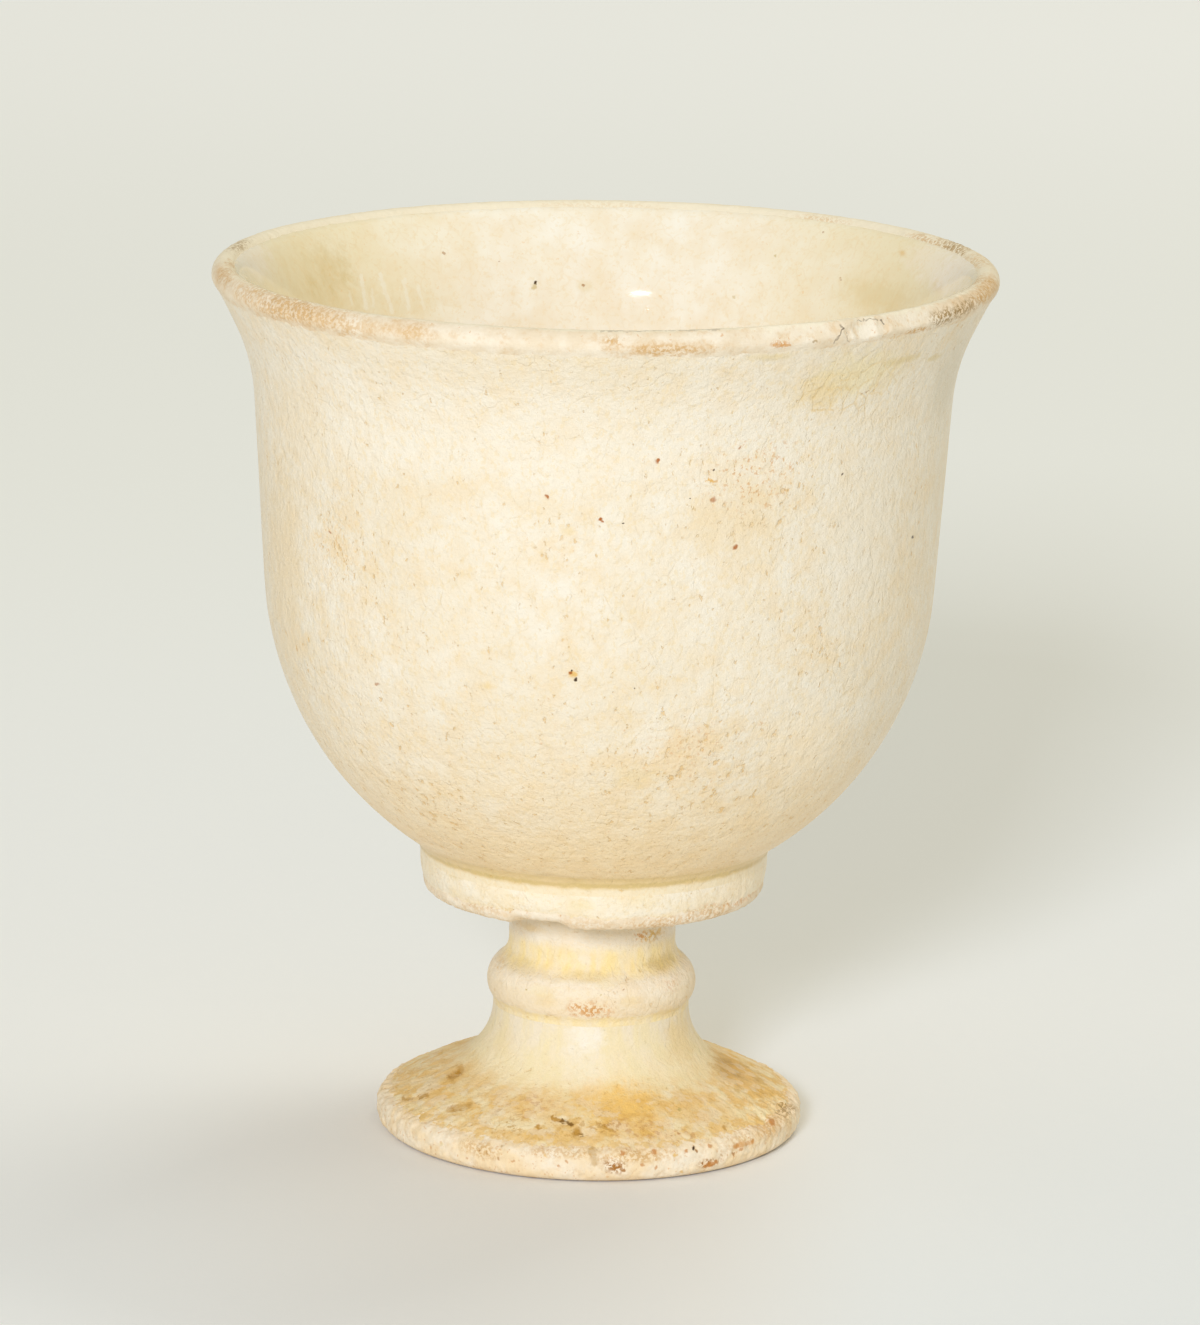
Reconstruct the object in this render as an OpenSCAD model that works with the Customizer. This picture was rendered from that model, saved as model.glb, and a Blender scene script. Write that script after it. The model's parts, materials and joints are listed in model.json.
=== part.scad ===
// Stem cup in glazed white stoneware.
// A round bowl with a flared lip sits in a dished collar on a ridged stem, which spreads into a hollow foot.
// Each clay piece is thrown by itself, and slip joins them before the glaze goes on, so every solid here
// is one turned profile. Sizes are millimetres, +Z is up, and the foot's ring rests on Z = 0.

/* [Bowl] */
// Radius of the round belly, at the clay
belly_r = 30.1; // [26:0.1:36]
// Outward lean of the straight wall, in degrees
wall_lean = 3.7; // [1:0.1:8]
// Length of the straight wall, from the belly to where the lip starts to turn out
wall_run = 17.4; // [8:0.1:30]
// Radius of the curve that turns the lip out
lip_curve_r = 18.8; // [14:0.1:28]
// Outward lean of the lip at its edge, in degrees
lip_turn = 38; // [22:0.5:50]
// Thickness of the rounded lip
lip_t = 2.2; // [1.6:0.1:2.8]
// Thickness of the wall
wall_t = 3; // [2.4:0.1:5]
// Thickness of the floor on the axis
floor_t = 4; // [3:0.1:8]

/* [Collar] */
// Width of the collar under the bowl
collar_d = 31.2; // [26:0.2:40]
// Thickness of the collar at its edge
collar_t = 3.8; // [3:0.1:6]
// Rounding of the collar's lower edge
collar_low_r = 0.9; // [0.4:0.1:1.3]
// Rounding of the collar's upper edge
collar_top_r = 0.6; // [0.4:0.1:1]
// Flat ring left between the upper edge and the dish that takes the bowl
collar_land = 0.3; // [0.2:0.1:1.5]
// Depth that the bowl sinks into the collar
seat_depth = 1.4; // [0.8:0.1:2]

/* [Stem and foot] */
// Width of the stem between the ridge and the collar
stem_d = 14.7; // [11:0.1:17]
// Straight length of the stem above the ridge
stem_run = 4.4; // [1:0.1:12]
// Width of the neck below the ridge
neck_d = 17.4; // [14:0.1:22]
// Straight length of the neck, from the foot's flare to the ridge
neck_run = 0.3; // [0.1:0.1:4]
// Height of the neck above the ground
neck_h = 11.6; // [9.5:0.1:16]
// Distance that the ridge stands out from the neck
ridge_out = 0.6; // [0.3:0.1:2]
// Radius of the ridge's rounded face
ridge_r = 2.3; // [1.4:0.1:3.4]
// Radius of the hollow above the ridge
ridge_over_r = 1.2; // [0.6:0.1:1.6]
// Radius of the hollow below the ridge
ridge_under_r = 0.8; // [0.6:0.1:1.2]
// Width of the foot
foot_d = 39; // [34:0.2:50]
// Height of the foot's edge
foot_edge_h = 3; // [2.4:0.1:4.5]
// Rounding of the foot's upper edge
foot_top_r = 1.1; // [0.4:0.1:1.6]
// Rounding of the foot's lower edge
foot_low_r = 1.2; // [0.4:0.1:1.3]
// Radius of the curve from the neck into the foot
foot_flare_r = 6.7; // [4:0.1:8]
// Width of the mouth of the hollow under the foot
hollow_mouth_d = 27; // [20:0.2:31]
// Width of the hollow inside the neck
hollow_bore_d = 8.8; // [6:0.1:11]

/* [Glaze and slip] */
// Thickness of the glaze
glaze_t = 0.3; // [0.2:0.05:0.45]
// Radius of the pooled glaze's hollow above the ridge
ridge_pool_r = 2.2; // [1.4:0.1:3]
// Distance from the collar's side to the pooled glaze in the groove above it
groove_in = 0.3; // [0.2:0.05:0.5]
// Thickness of the slip that joins the pieces
slip_t = 0.4; // [0.2:0.05:0.6]

/* [Hidden] */

// Turn of each step along an arc, in degrees, and the count of steps round a turned piece
arc_step = 3;
$fn = 120;
// Points closer than this are one point
same_point = 0.001;

// Colours
clay_colour = [0.90, 0.80, 0.67];
slip_colour = [0.86, 0.76, 0.62];
glaze_colour = [0.94, 0.90, 0.78];
pool_colour = [0.85, 0.79, 0.56];

// Radii of the round sizes
collar_r = collar_d / 2;
stem_r = stem_d / 2;
neck_r = neck_d / 2;
foot_r = foot_d / 2;
bore_r = hollow_bore_d / 2;
mouth_r = hollow_mouth_d / 2;

// Foot: its edge's rounding, and the neck's flare that runs down onto it at a tangent
edge_centre = [foot_r - foot_top_r, foot_edge_h - foot_top_r];
flare_centre = [neck_r + foot_flare_r, neck_h];
edge_to_flare = flare_centre - edge_centre;
foot_normal = direction(edge_to_flare) - acos((foot_flare_r + foot_top_r) / norm(edge_to_flare));

// Hollow: a trumpet that starts upright at the neck and opens to its mouth on the ground
mouth_spread = mouth_r - bore_r;
trumpet_r = (pow(mouth_spread, 2) + pow(neck_h, 2)) / (2 * mouth_spread);
trumpet_centre = [bore_r + trumpet_r, neck_h];
trumpet_end = 360 + direction([mouth_r, 0] - trumpet_centre);

// Ridge: a rounded face with a hollow below it, against the neck, and one above it, against the stem
under_centre = [neck_r + ridge_under_r, neck_h + neck_run];
ridge_x = neck_r + ridge_out - ridge_r;
ridge_z = under_centre.y + leg(ridge_r + ridge_under_r, under_centre.x - ridge_x);
ridge_centre = [ridge_x, ridge_z];
under_turn = direction(under_centre - ridge_centre);
over_centre = ridge_hollow(0, ridge_over_r);
pool_centre = ridge_hollow(glaze_t, ridge_pool_r);

// Heights of the joints, from the ground up
stem_top = pool_centre.y + stem_run;
collar_z = stem_top + slip_t;
collar_top = collar_z + collar_t;
base_z = collar_top - seat_depth;
dish_z = base_z - slip_t;

// Belly: its centre stands where the bowl, with its slip, meets the rim of the collar's dish
seat_r = collar_r - collar_top_r - collar_land;
dish_r = belly_r + slip_t;
belly_z = collar_top + leg(dish_r, seat_r);
belly_centre = [0, belly_z];
base_turn = -asin((belly_z - base_z) / belly_r);
rim_turn = -asin((belly_z - collar_top) / belly_r);
dish_turn = -asin((belly_z - dish_z) / dish_r);
seat_turn = -asin((belly_z - collar_top) / dish_r);

// Groove: the pooled glaze ends at this radius, on the belly and on the collar's upper edge
groove_r = collar_r - groove_in;
groove_turn = -acos(groove_r / belly_r);
collar_top_centre = [collar_r - collar_top_r, collar_top - collar_top_r];
collar_low_centre = [collar_r - collar_low_r, collar_z + collar_low_r];
groove_edge_turn = acos((groove_r - collar_top_centre.x) / collar_top_r);

// Lip: the wall's two faces turn out on curves that end at a tangent on the rounded lip
wall_out = toward(-wall_lean);
wall_up = toward(90 - wall_lean);
lip_curve_centre = belly_centre + (belly_r + lip_curve_r) * wall_out + wall_run * wall_up;
lip_r = lip_t / 2;
lip_centre = lip_curve_centre - (lip_curve_r + lip_r) * toward(-lip_turn);
inner_curve_r = lip_curve_r + wall_t;
lip_rise = (lip_curve_r + lip_r) * sin(lip_turn - wall_lean);
lip_reach = (lip_curve_r + lip_r) * cos(lip_turn - wall_lean);
inner_curve_centre = lip_curve_centre + (lip_rise - leg(inner_curve_r - lip_r, lip_reach)) * wall_up;
inner_lip_turn = direction(lip_centre - inner_curve_centre);

// Inside of the bowl: a ball that touches the inner wall and the floor
lean_share = sin(wall_lean);
inner_z = (base_z + floor_t + belly_r - wall_t - lean_share * belly_z) / (1 - lean_share);
inner_r = inner_z - base_z - floor_t;
inner_centre = [0, inner_z];

// The unit vector at an angle, the angle of a vector, and the second leg of a right triangle
function toward(angle) = [cos(angle), sin(angle)];
function direction(v) = atan2(v.y, v.x);
function leg(hypotenuse, other) = sqrt(pow(hypotenuse, 2) - pow(other, 2));

// Points on an arc, from one angle to another
function arc(centre, radius, from, to) =
    let (steps = max(1, ceil(abs(to - from) / arc_step)))
    [for (i = [0 : steps]) centre + radius * toward(from + (to - from) * i / steps)];

// The same points in the other order, and a path without its repeated points
function reversed(points) = [for (i = [len(points) - 1 : -1 : 0]) points[i]];
function once(points) = [
    for (i = [0 : len(points) - 1])
        if (i == 0 || norm(points[i] - points[max(0, i - 1)]) > same_point) points[i]
];

// Centre of a hollow that touches the ridge and the stem, both grown by a coat
function ridge_hollow(coat, radius) =
    let (x = stem_r + coat + radius)
    [x, ridge_z + leg(ridge_r + coat + radius, x - ridge_x)];

// Outside of the belly between two angles, on the clay or out on a coat
function belly(coat, from, to) = arc(belly_centre, belly_r + coat, from, to);

// Outer face of the lip, from the straight wall to the rounded edge
function lip_outside(coat) =
    arc(lip_curve_centre, lip_curve_r - coat, 180 - wall_lean, 180 - lip_turn);

// Inside of the bowl, from the rounded lip down to the axis
function bowl_inside(coat) = concat(
    arc(inner_curve_centre, inner_curve_r + coat, inner_lip_turn, 180 - wall_lean),
    arc(inner_centre, inner_r - coat, -wall_lean, -90)
);

// Collar's side, from the groove down to the rounding of the lower edge
function collar_side(coat) = concat(
    arc(collar_top_centre, collar_top_r + coat, groove_edge_turn, 0),
    [[collar_r + coat, collar_low_centre.y]]
);

// Stem's outside, from the ridge's upper hollow down to the neck
function ridge_outside(coat, hollow_centre, hollow_r) =
    let (over_turn = direction(hollow_centre - ridge_centre))
    concat(
        arc(hollow_centre, hollow_r, 180, 180 + over_turn),
        arc(ridge_centre, ridge_r + coat, over_turn, under_turn),
        arc(under_centre, ridge_under_r - coat, 180 + under_turn, 180),
        [[neck_r + coat, neck_h]]
    );

// Foot's upper face, from the neck down to the rounding of its edge
function foot_outside(coat) = concat(
    arc(flare_centre, foot_flare_r - coat, 180, 180 + foot_normal),
    [edge_centre + (foot_top_r + coat) * toward(foot_normal)]
);

// Turns a closed outline round the axis
module turned(outline) {
    rotate_extrude()
        polygon(once(outline));
}

// Turns the coat between a bare path and the same path grown
module coat_between(bare, grown) {
    turned(concat(bare, reversed(grown)));
}

module bowl() {
    color(clay_colour)
        turned(concat(
            [[0, base_z]],
            belly(0, base_turn, rim_turn),
            belly(0, rim_turn, groove_turn),
            belly(0, groove_turn, -wall_lean),
            lip_outside(0),
            arc(lip_centre, lip_r, -lip_turn, inner_lip_turn),
            bowl_inside(0)
        ));
}

module collar() {
    color(clay_colour)
        turned(concat(
            [[0, collar_z]],
            arc(collar_low_centre, collar_low_r, -90, 0),
            reversed(collar_side(0)),
            arc(collar_top_centre, collar_top_r, groove_edge_turn, 90),
            arc(belly_centre, dish_r, seat_turn, dish_turn),
            [[0, dish_z]]
        ));
}

module stem_foot() {
    color(clay_colour)
        turned(concat(
            arc([foot_r - foot_low_r, foot_low_r], foot_low_r, -90, 0),
            arc(edge_centre, foot_top_r, 0, foot_normal),
            reversed(foot_outside(0)),
            reversed(ridge_outside(0, over_centre, ridge_over_r)),
            [[stem_r, stem_top], [0, stem_top]],
            arc([0, neck_h], bore_r, 90, 0),
            arc(trumpet_centre, trumpet_r, 180, trumpet_end)
        ));
}

module bowl_joint_slip() {
    color(slip_colour)
        coat_between(
            concat([[0, base_z]], belly(0, base_turn, rim_turn)),
            concat([[0, dish_z]], arc(belly_centre, dish_r, dish_turn, seat_turn))
        );
}

module stem_joint_slip() {
    color(slip_colour)
        translate([0, 0, stem_top])
            cylinder(r = stem_r, h = slip_t);
}

module inner_glaze() {
    color(glaze_colour)
        coat_between(bowl_inside(0), bowl_inside(glaze_t));
}

module bowl_glaze() {
    color(glaze_colour)
        coat_between(
            concat(belly(0, groove_turn, -wall_lean), lip_outside(0)),
            concat(belly(glaze_t, groove_turn, -wall_lean), lip_outside(glaze_t))
        );
}

module groove_glaze() {
    color(pool_colour)
        coat_between(
            belly(0, rim_turn, groove_turn),
            concat([[seat_r, collar_top]], arc(collar_top_centre, collar_top_r, 90, groove_edge_turn))
        );
}

module collar_glaze() {
    color(glaze_colour)
        coat_between(collar_side(0), collar_side(glaze_t));
}

module stem_glaze() {
    color(pool_colour)
        coat_between(
            concat([[stem_r, collar_z]], ridge_outside(0, over_centre, ridge_over_r)),
            concat([[stem_r + glaze_t, collar_z]], ridge_outside(glaze_t, pool_centre, ridge_pool_r))
        );
}

module foot_glaze() {
    color(glaze_colour)
        coat_between(foot_outside(0), foot_outside(glaze_t));
}

bowl();
collar();
stem_foot();
bowl_joint_slip();
stem_joint_slip();
inner_glaze();
bowl_glaze();
groove_glaze();
collar_glaze();
stem_glaze();
foot_glaze();
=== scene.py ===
# %% [markdown]
# # A glazed stem cup, dressed for its photograph
# The cup is a thrown bowl, a disc-like collar and a stem that spreads into a foot. Slip joins the three,
# and a thin ivory glaze covers nearly all of it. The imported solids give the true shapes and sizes. This
# lesson makes finer pieces that follow the same profiles, with worn edges and fired finishes, and each
# piece stands for the solid whose place it takes.

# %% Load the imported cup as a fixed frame
import json

import bpy
import numpy as np
from mathutils import Euler, Matrix, Vector, noise as solid_noise
from mathutils.bvhtree import BVHTree

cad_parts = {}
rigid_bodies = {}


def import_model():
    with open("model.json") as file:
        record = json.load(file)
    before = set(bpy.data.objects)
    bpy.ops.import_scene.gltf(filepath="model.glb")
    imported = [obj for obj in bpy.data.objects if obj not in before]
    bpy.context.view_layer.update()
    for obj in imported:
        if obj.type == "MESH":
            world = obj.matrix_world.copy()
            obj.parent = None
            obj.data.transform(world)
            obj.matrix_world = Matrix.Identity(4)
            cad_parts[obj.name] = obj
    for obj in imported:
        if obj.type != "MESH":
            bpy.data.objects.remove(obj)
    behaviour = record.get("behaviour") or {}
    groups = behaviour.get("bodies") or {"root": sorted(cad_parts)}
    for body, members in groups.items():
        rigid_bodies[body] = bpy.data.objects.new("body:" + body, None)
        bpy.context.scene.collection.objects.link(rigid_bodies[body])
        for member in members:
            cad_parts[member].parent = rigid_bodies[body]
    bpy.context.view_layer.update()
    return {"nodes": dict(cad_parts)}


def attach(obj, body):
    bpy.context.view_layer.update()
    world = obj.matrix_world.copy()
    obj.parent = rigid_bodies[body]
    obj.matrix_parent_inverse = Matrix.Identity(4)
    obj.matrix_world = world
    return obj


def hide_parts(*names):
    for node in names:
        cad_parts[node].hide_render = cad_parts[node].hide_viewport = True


for left_over in list(bpy.data.objects):
    bpy.data.objects.remove(left_over)
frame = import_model()
scene = bpy.context.scene
scene.view_settings.view_transform = "Standard"
MM = 0.001
print("nodes:", ", ".join(sorted(frame["nodes"])))

# %% [markdown]
# ## Camera
# The photograph was taken from just above the rim with a long lens, so the mouth shows as a flat oval and
# the sides hardly converge. A camera could be placed by eye, but the oval of the rim, the oval of the foot
# and the lean of the axis fix its height, its distance and its small roll, and those values are used here.

# %% Camera
PHOTO_WIDE = 1200
PHOTO_HIGH = 1325
FOCAL_PX = 6767.4
SENSOR_MM = 36
EYE = Vector((0.0002, -0.6, 0.1838))
PITCH_DOWN = 0.2297
ROLL = 0.0205

eye_data = bpy.data.cameras.new("photo_camera")
eye_data.sensor_width = SENSOR_MM
eye_data.lens = SENSOR_MM * FOCAL_PX / PHOTO_HIGH
eye_data.clip_start = 0.01
eye_data.clip_end = 20
camera = bpy.data.objects.new("photo_camera", eye_data)
level_turn = Euler((np.pi / 2 - PITCH_DOWN, 0, 0)).to_matrix()
EYE_TURN = level_turn @ Matrix.Rotation(ROLL, 3, "Z")
camera.matrix_world = Matrix.Translation(EYE) @ EYE_TURN.to_4x4()
scene.collection.objects.link(camera)
scene.camera = camera
print("lens in mm:", round(eye_data.lens, 1))

# %% [markdown]
# ## Light and floor
# The cup stands on a wide pale sheet under soft studio light. A softbox left of the camera models the bowl
# and throws the soft shadow back to the right, two large ones behind and to the right lighten the sheet and
# the rim, and an even sky fills the rest. These broad lamps are kept out of reflections. The photograph
# shows just one small sharp highlight, on the inside, and a narrow lamp beside the key makes that one.

# %% Floor, sky and softboxes
FLOOR_SIZE = 8.0
SKY_COLOUR = (1.0, 0.98, 0.84, 1)
SKY_STRENGTH = 0.47
KEY_PLACE = Vector((-0.486, -2.284, 0.941))
KEY_WIDE = 0.5
KEY_TALL = 0.4
KEY_WATTS = 39.4
KEY_COLOUR = (0.803, 0.868, 1.0)
GLINT_PLACE = Vector((-0.53, -2.187, 1.182))
GLINT_WIDE = 0.3
GLINT_TALL = 0.035
GLINT_WATTS = 2.2
FILL_COLOUR = (1.0, 0.99, 0.89)
BACK_PLACE = Vector((0.8, 1.08, 2.15))
BACK_SIZE = 1.0
BACK_WATTS = 12.8
SIDE_PLACE = Vector((2.02, 0.36, 1.47))
SIDE_WATTS = 5.5
CUP_MIDDLE = Vector((0, 0, 0.045))


def softbox(name, spot, wide, tall, watts, colour, aim):
    """A rectangular lamp that faces a point and returns its object."""
    lamp = bpy.data.lights.new(name, "AREA")
    lamp.shape = "RECTANGLE"
    lamp.size = wide
    lamp.size_y = tall
    lamp.energy = watts
    lamp.color = colour
    made = bpy.data.objects.new(name, lamp)
    facing = (aim - spot).to_track_quat("-Z", "Y").to_matrix().to_4x4()
    made.matrix_world = Matrix.Translation(spot) @ facing
    scene.collection.objects.link(made)
    return made


softbox("glint_lamp", GLINT_PLACE, GLINT_WIDE, GLINT_TALL, GLINT_WATTS, KEY_COLOUR, CUP_MIDDLE)
key_box = softbox("key_softbox", KEY_PLACE, KEY_WIDE, KEY_TALL, KEY_WATTS, KEY_COLOUR, CUP_MIDDLE)
back_box = softbox("back_softbox", BACK_PLACE, BACK_SIZE, BACK_SIZE, BACK_WATTS, FILL_COLOUR, CUP_MIDDLE)
side_box = softbox("side_softbox", SIDE_PLACE, BACK_SIZE, BACK_SIZE, SIDE_WATTS, FILL_COLOUR, CUP_MIDDLE)
for broad in (key_box, back_box, side_box):
    broad.visible_glossy = False

sky = bpy.data.worlds.new("studio_sky")
sky.use_nodes = True
sky.node_tree.nodes["Background"].inputs["Color"].default_value = SKY_COLOUR
sky.node_tree.nodes["Background"].inputs["Strength"].default_value = SKY_STRENGTH
scene.world = sky

half = FLOOR_SIZE / 2
sheet_corners = [(-half, -half, 0), (half, -half, 0), (half, half, 0), (-half, half, 0)]
sheet_mesh = bpy.data.meshes.new("paper_sheet")
sheet_mesh.from_pydata(sheet_corners, [], [(0, 1, 2, 3)])
paper_sheet = bpy.data.objects.new("paper_sheet", sheet_mesh)
scene.collection.objects.link(paper_sheet)
print("floor, three softboxes and a narrow lamp made")

# %% [markdown]
# ## Profiles from the solids
# Every piece of this cup is turned, so one profile says all there is to know about it. The profile could
# be typed in again, but then two sets of sizes would have to agree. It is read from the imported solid
# instead: the edges that lie in the half-plane y = 0 are walked from end to end, and curves are drawn
# through their points.

# %% Read a solid's profile
SAME_PLANE = 1e-7
CORNER_TURN = np.radians(12)


def section(node):
    """Ordered points (radius, height) in mm of a solid in the half-plane y = 0, and whether they close.

    A flat end has no point on the axis, so an open profile gets one.
    """
    mesh = frame["nodes"][node].data
    links = {}
    for edge in mesh.edges:
        a, b = (mesh.vertices[i].co for i in edge.vertices)
        if min(a.x, b.x) < -SAME_PLANE or max(abs(a.y), abs(b.y)) > SAME_PLANE:
            continue
        one, other = ((round(c.x / MM, 4), round(c.z / MM, 4)) for c in (a, b))
        if one != other:
            links.setdefault(one, set()).add(other)
            links.setdefault(other, set()).add(one)
    ends = [point for point, others in links.items() if len(others) == 1]
    walk = [min(ends) if ends else max(links)]
    while True:
        onward = sorted(links[walk[-1]] - set(walk))
        if not onward:
            break
        walk.append(onward[0])
    if ends:
        walk = [(0, walk[0][1])] * (walk[0][0] > 0) + walk + [(0, walk[-1][1])] * (walk[-1][0] > 0)
    return np.array(walk), not ends


def runs_of(points, closed):
    """Splits a profile at its corners into smooth runs."""
    ring = np.vstack([points, points[:1]]) if closed else points
    heading = np.diff(ring, axis=0)
    angle = np.arctan2(heading[:, 1], heading[:, 0])
    turn = (np.diff(angle) + np.pi) % (2 * np.pi) - np.pi
    cuts = [0, *[int(i) + 1 for i in np.flatnonzero(abs(turn) > CORNER_TURN)], len(ring) - 1]
    runs = [ring[a:b + 1] for a, b in zip(cuts[:-1], cuts[1:])]
    start_turn = (angle[0] - angle[-1] + np.pi) % (2 * np.pi) - np.pi
    if closed and abs(start_turn) <= CORNER_TURN and len(runs) > 1:
        runs = [np.vstack([runs[-1], runs[0][1:]]), *runs[1:-1]]
    return runs


profiles = {node: section(node) for node in frame["nodes"]}
for node in sorted(profiles):
    print(node, len(profiles[node][0]), "points,", len(runs_of(*profiles[node])), "smooth runs")

# %% Draw a smooth curve through a run, with the spacing that each place needs
PROBES = 3000
SPACING_GROWTH = 0.25


def lengths_along(points):
    """Length from the first point to each point."""
    return np.concatenate([[0], np.cumsum(np.linalg.norm(np.diff(points, axis=0), axis=1))])


def curve_at(points, at):
    """Points at given lengths on cubic curves through a run, where the longer chord sets each tangent."""
    length = lengths_along(points)
    step = np.diff(length)[:, None]
    slope = np.diff(points, axis=0) / step
    between_chords = (slope[:-1] * step[:-1] + slope[1:] * step[1:]) / (step[:-1] + step[1:])
    tangent = np.vstack([slope[:1], between_chords, slope[-1:]])
    i = np.clip(np.searchsorted(length, at, side="right") - 1, 0, len(step) - 1)
    h = step[i]
    t = (at - length[i])[:, None] / h
    start = (1 + 2 * t) * (1 - t) ** 2 * points[i] + t * (1 - t) ** 2 * h * tangent[i]
    return start + t ** 2 * (3 - 2 * t) * points[i + 1] + t ** 2 * (t - 1) * h * tangent[i + 1]


def spaced(points, coarse, fine_places=()):
    """A run with points about coarse mm apart, and closer round each fine place ((r, z), reach, spacing)."""
    probe = np.linspace(0, lengths_along(points)[-1], PROBES)
    on_curve = curve_at(points, probe)
    step = np.full(PROBES, float(coarse))
    for (r, z), reach, fine in fine_places:
        away = np.hypot(on_curve[:, 0] - r, on_curve[:, 1] - z)
        step = np.minimum(step, fine + np.maximum(away - reach, 0) * SPACING_GROWTH)
    count = np.concatenate([[0], np.cumsum(np.diff(probe) * 2 / (step[1:] + step[:-1]))])
    share = np.linspace(0, count[-1], max(1, round(count[-1])) + 1)
    return curve_at(points, np.interp(share, count, probe))


def whole_profile(node, coarse, fine_places=()):
    """A clay piece's profile, run by run, from the axis or ground to its other end."""
    stretches = [spaced(run, coarse, fine_places) for run in runs_of(*profiles[node])]
    return np.vstack([stretches[0], *[stretch[1:] for stretch in stretches[1:]]])


print("profile tools ready")

# %% [markdown]
# ## Glaze coats that thin out at their ends
# On the real cup the glaze was wiped or worn off the lip, the collar's lower edge and the foot's edge, and
# it thins towards those places. A coat with a square end would look like tape. Each coat therefore keeps
# the solid's outer face, but its worn ends sink slowly below the clay, so the line where clay and glaze
# meet is free to wander. Liquid glaze also rounds off the bends it covers, so a face can be softened.

# %% Coat profiles
GLAZE_T = 0.3
END_DEPTH = 0.12
UNDER_DEPTH = 0.35
UNDER_STEP = 4
SINK_POWER = 2.7
RAGGED_FROM = 0.3
RAGGED_TO = 0.65
CLAY_GAP = 0.1
EASE_ROOM = 2.5
LEAST_EASE = 1e-3


def coat_face(coat, clay):
    """The run of a coat's profile that stands furthest from the clay, which is its visible face."""
    bare = whole_profile(clay, CLAY_GAP)
    found = []
    for run in runs_of(*profiles[coat]):
        gap = np.linalg.norm(run[:, None] - bare[None], axis=2).min(axis=1)
        found.append((len(run) > 2, gap.mean(), run))
    return max(found, key=lambda entry: entry[:2])[2]


def unit_normals(points):
    """Unit vectors square to a run, on its left."""
    heading = np.gradient(points, axis=0)
    left = np.stack([-heading[:, 1], heading[:, 0]], axis=1)
    return left / np.linalg.norm(left, axis=1)[:, None]


def smooth_step(low, high, value):
    """0 below low, 1 above high, and an even slope between them."""
    t = np.clip((value - low) / (high - low), 0, 1)
    return t * t * (3 - 2 * t)


def softened(points, reach):
    """A run with its bends eased over a length, and its two ends kept."""
    length = lengths_along(points)
    room = np.minimum(length, length[-1] - length)
    spread = np.clip(room / EASE_ROOM, LEAST_EASE, reach)[:, None]
    weight = np.exp(-0.5 * ((length[:, None] - length[None]) / spread) ** 2)
    return weight @ points / weight.sum(axis=1)[:, None]


def coat_profile(coat, clay, coarse, fine_places=(), thin_high=0, thin_low=0, soften=0, to_axis=False):
    """A coat's profile from its visible face, thinned over a length at either end, with edge weights."""
    face = coat_face(coat, clay)
    face = spaced(face if face[0, 1] > face[-1, 1] else face[::-1], coarse, fine_places)
    if soften:
        face = softened(face, soften)
    bare = whole_profile(clay, CLAY_GAP)
    away = unit_normals(face)
    nearest = bare[np.linalg.norm(face[:, None] - bare[None], axis=2).argmin(axis=1)]
    if ((face - nearest) * away).sum() < 0:
        away = -away
    length = lengths_along(face)
    sink = np.zeros(len(face))
    if thin_high:
        sink = np.maximum(sink, (1 - np.clip(length / thin_high, 0, 1)) ** SINK_POWER)
    if thin_low:
        sink = np.maximum(sink, (1 - np.clip((length[-1] - length) / thin_low, 0, 1)) ** SINK_POWER)
    top = face - away * (sink * (GLAZE_T + END_DEPTH))[:, None]
    keep = sorted({*range(0, len(face), UNDER_STEP), len(face) - 1})
    under = (face - away * (GLAZE_T + UNDER_DEPTH))[keep]
    edge = np.concatenate([smooth_step(RAGGED_FROM, RAGGED_TO, sink), np.zeros(len(under))])
    if to_axis:
        under[-1, 0] = 0
        return np.vstack([top[::-1], under]), np.concatenate([edge[:len(top)][::-1], edge[len(top):]])
    return np.vstack([top, under[::-1]]), edge


print("coat profiles ready")

# %% [markdown]
# ## A turned piece in Geometry Nodes
# A potter's wheel sweeps one profile round an axis. The Spin operator or a Screw modifier would do the
# same, but here the surface also has to be a little uneven: a slow wave from the hand, a fine grain where
# the clay is bare, a ragged line at a coat's end, and a rim that is not quite level. One node tree does
# all of it. A grid takes its rows from the profile's points and its columns from the turn, its seam and
# poles are merged, and noise moves the points along their normals by the weights that the profile carries.

# %% Small helpers for node trees
def place(tree, kind, inputs=None, **settings):
    """Adds a node, applies its settings, and sets or wires its inputs by name or number."""
    made = tree.nodes.new(kind)
    for key, value in settings.items():
        setattr(made, key, value)
    for key, value in (inputs or {}).items():
        if isinstance(value, bpy.types.NodeSocket):
            tree.links.new(value, made.inputs[key])
        else:
            made.inputs[key].default_value = value
    return made


def maths(tree, operation, a, b=0.0, c=0.0):
    """One sum on numbers."""
    return place(tree, "ShaderNodeMath", {0: a, 1: b, 2: c}, operation=operation).outputs[0]


def times(tree, *values):
    """The product of several numbers."""
    total = values[0]
    for value in values[1:]:
        total = maths(tree, "MULTIPLY", total, value)
    return total


def most(tree, *values):
    """The largest of several numbers."""
    total = values[0]
    for value in values[1:]:
        total = maths(tree, "MAXIMUM", total, value)
    return total


def signed(tree, value):
    """A value from 0 to 1, spread from -1 to 1."""
    return maths(tree, "MULTIPLY_ADD", value, 2.0, -1.0)


def part(tree, vector, axis):
    """One coordinate of a vector."""
    return place(tree, "ShaderNodeSeparateXYZ", {0: vector}).outputs[axis]


def dot(tree, a, b):
    """The dot product of two vectors."""
    return place(tree, "ShaderNodeVectorMath", {0: a, 1: b}, operation="DOT_PRODUCT").outputs["Value"]


def length_of(tree, vector):
    """The length of a vector."""
    return place(tree, "ShaderNodeVectorMath", {0: vector}, operation="LENGTH").outputs["Value"]


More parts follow.
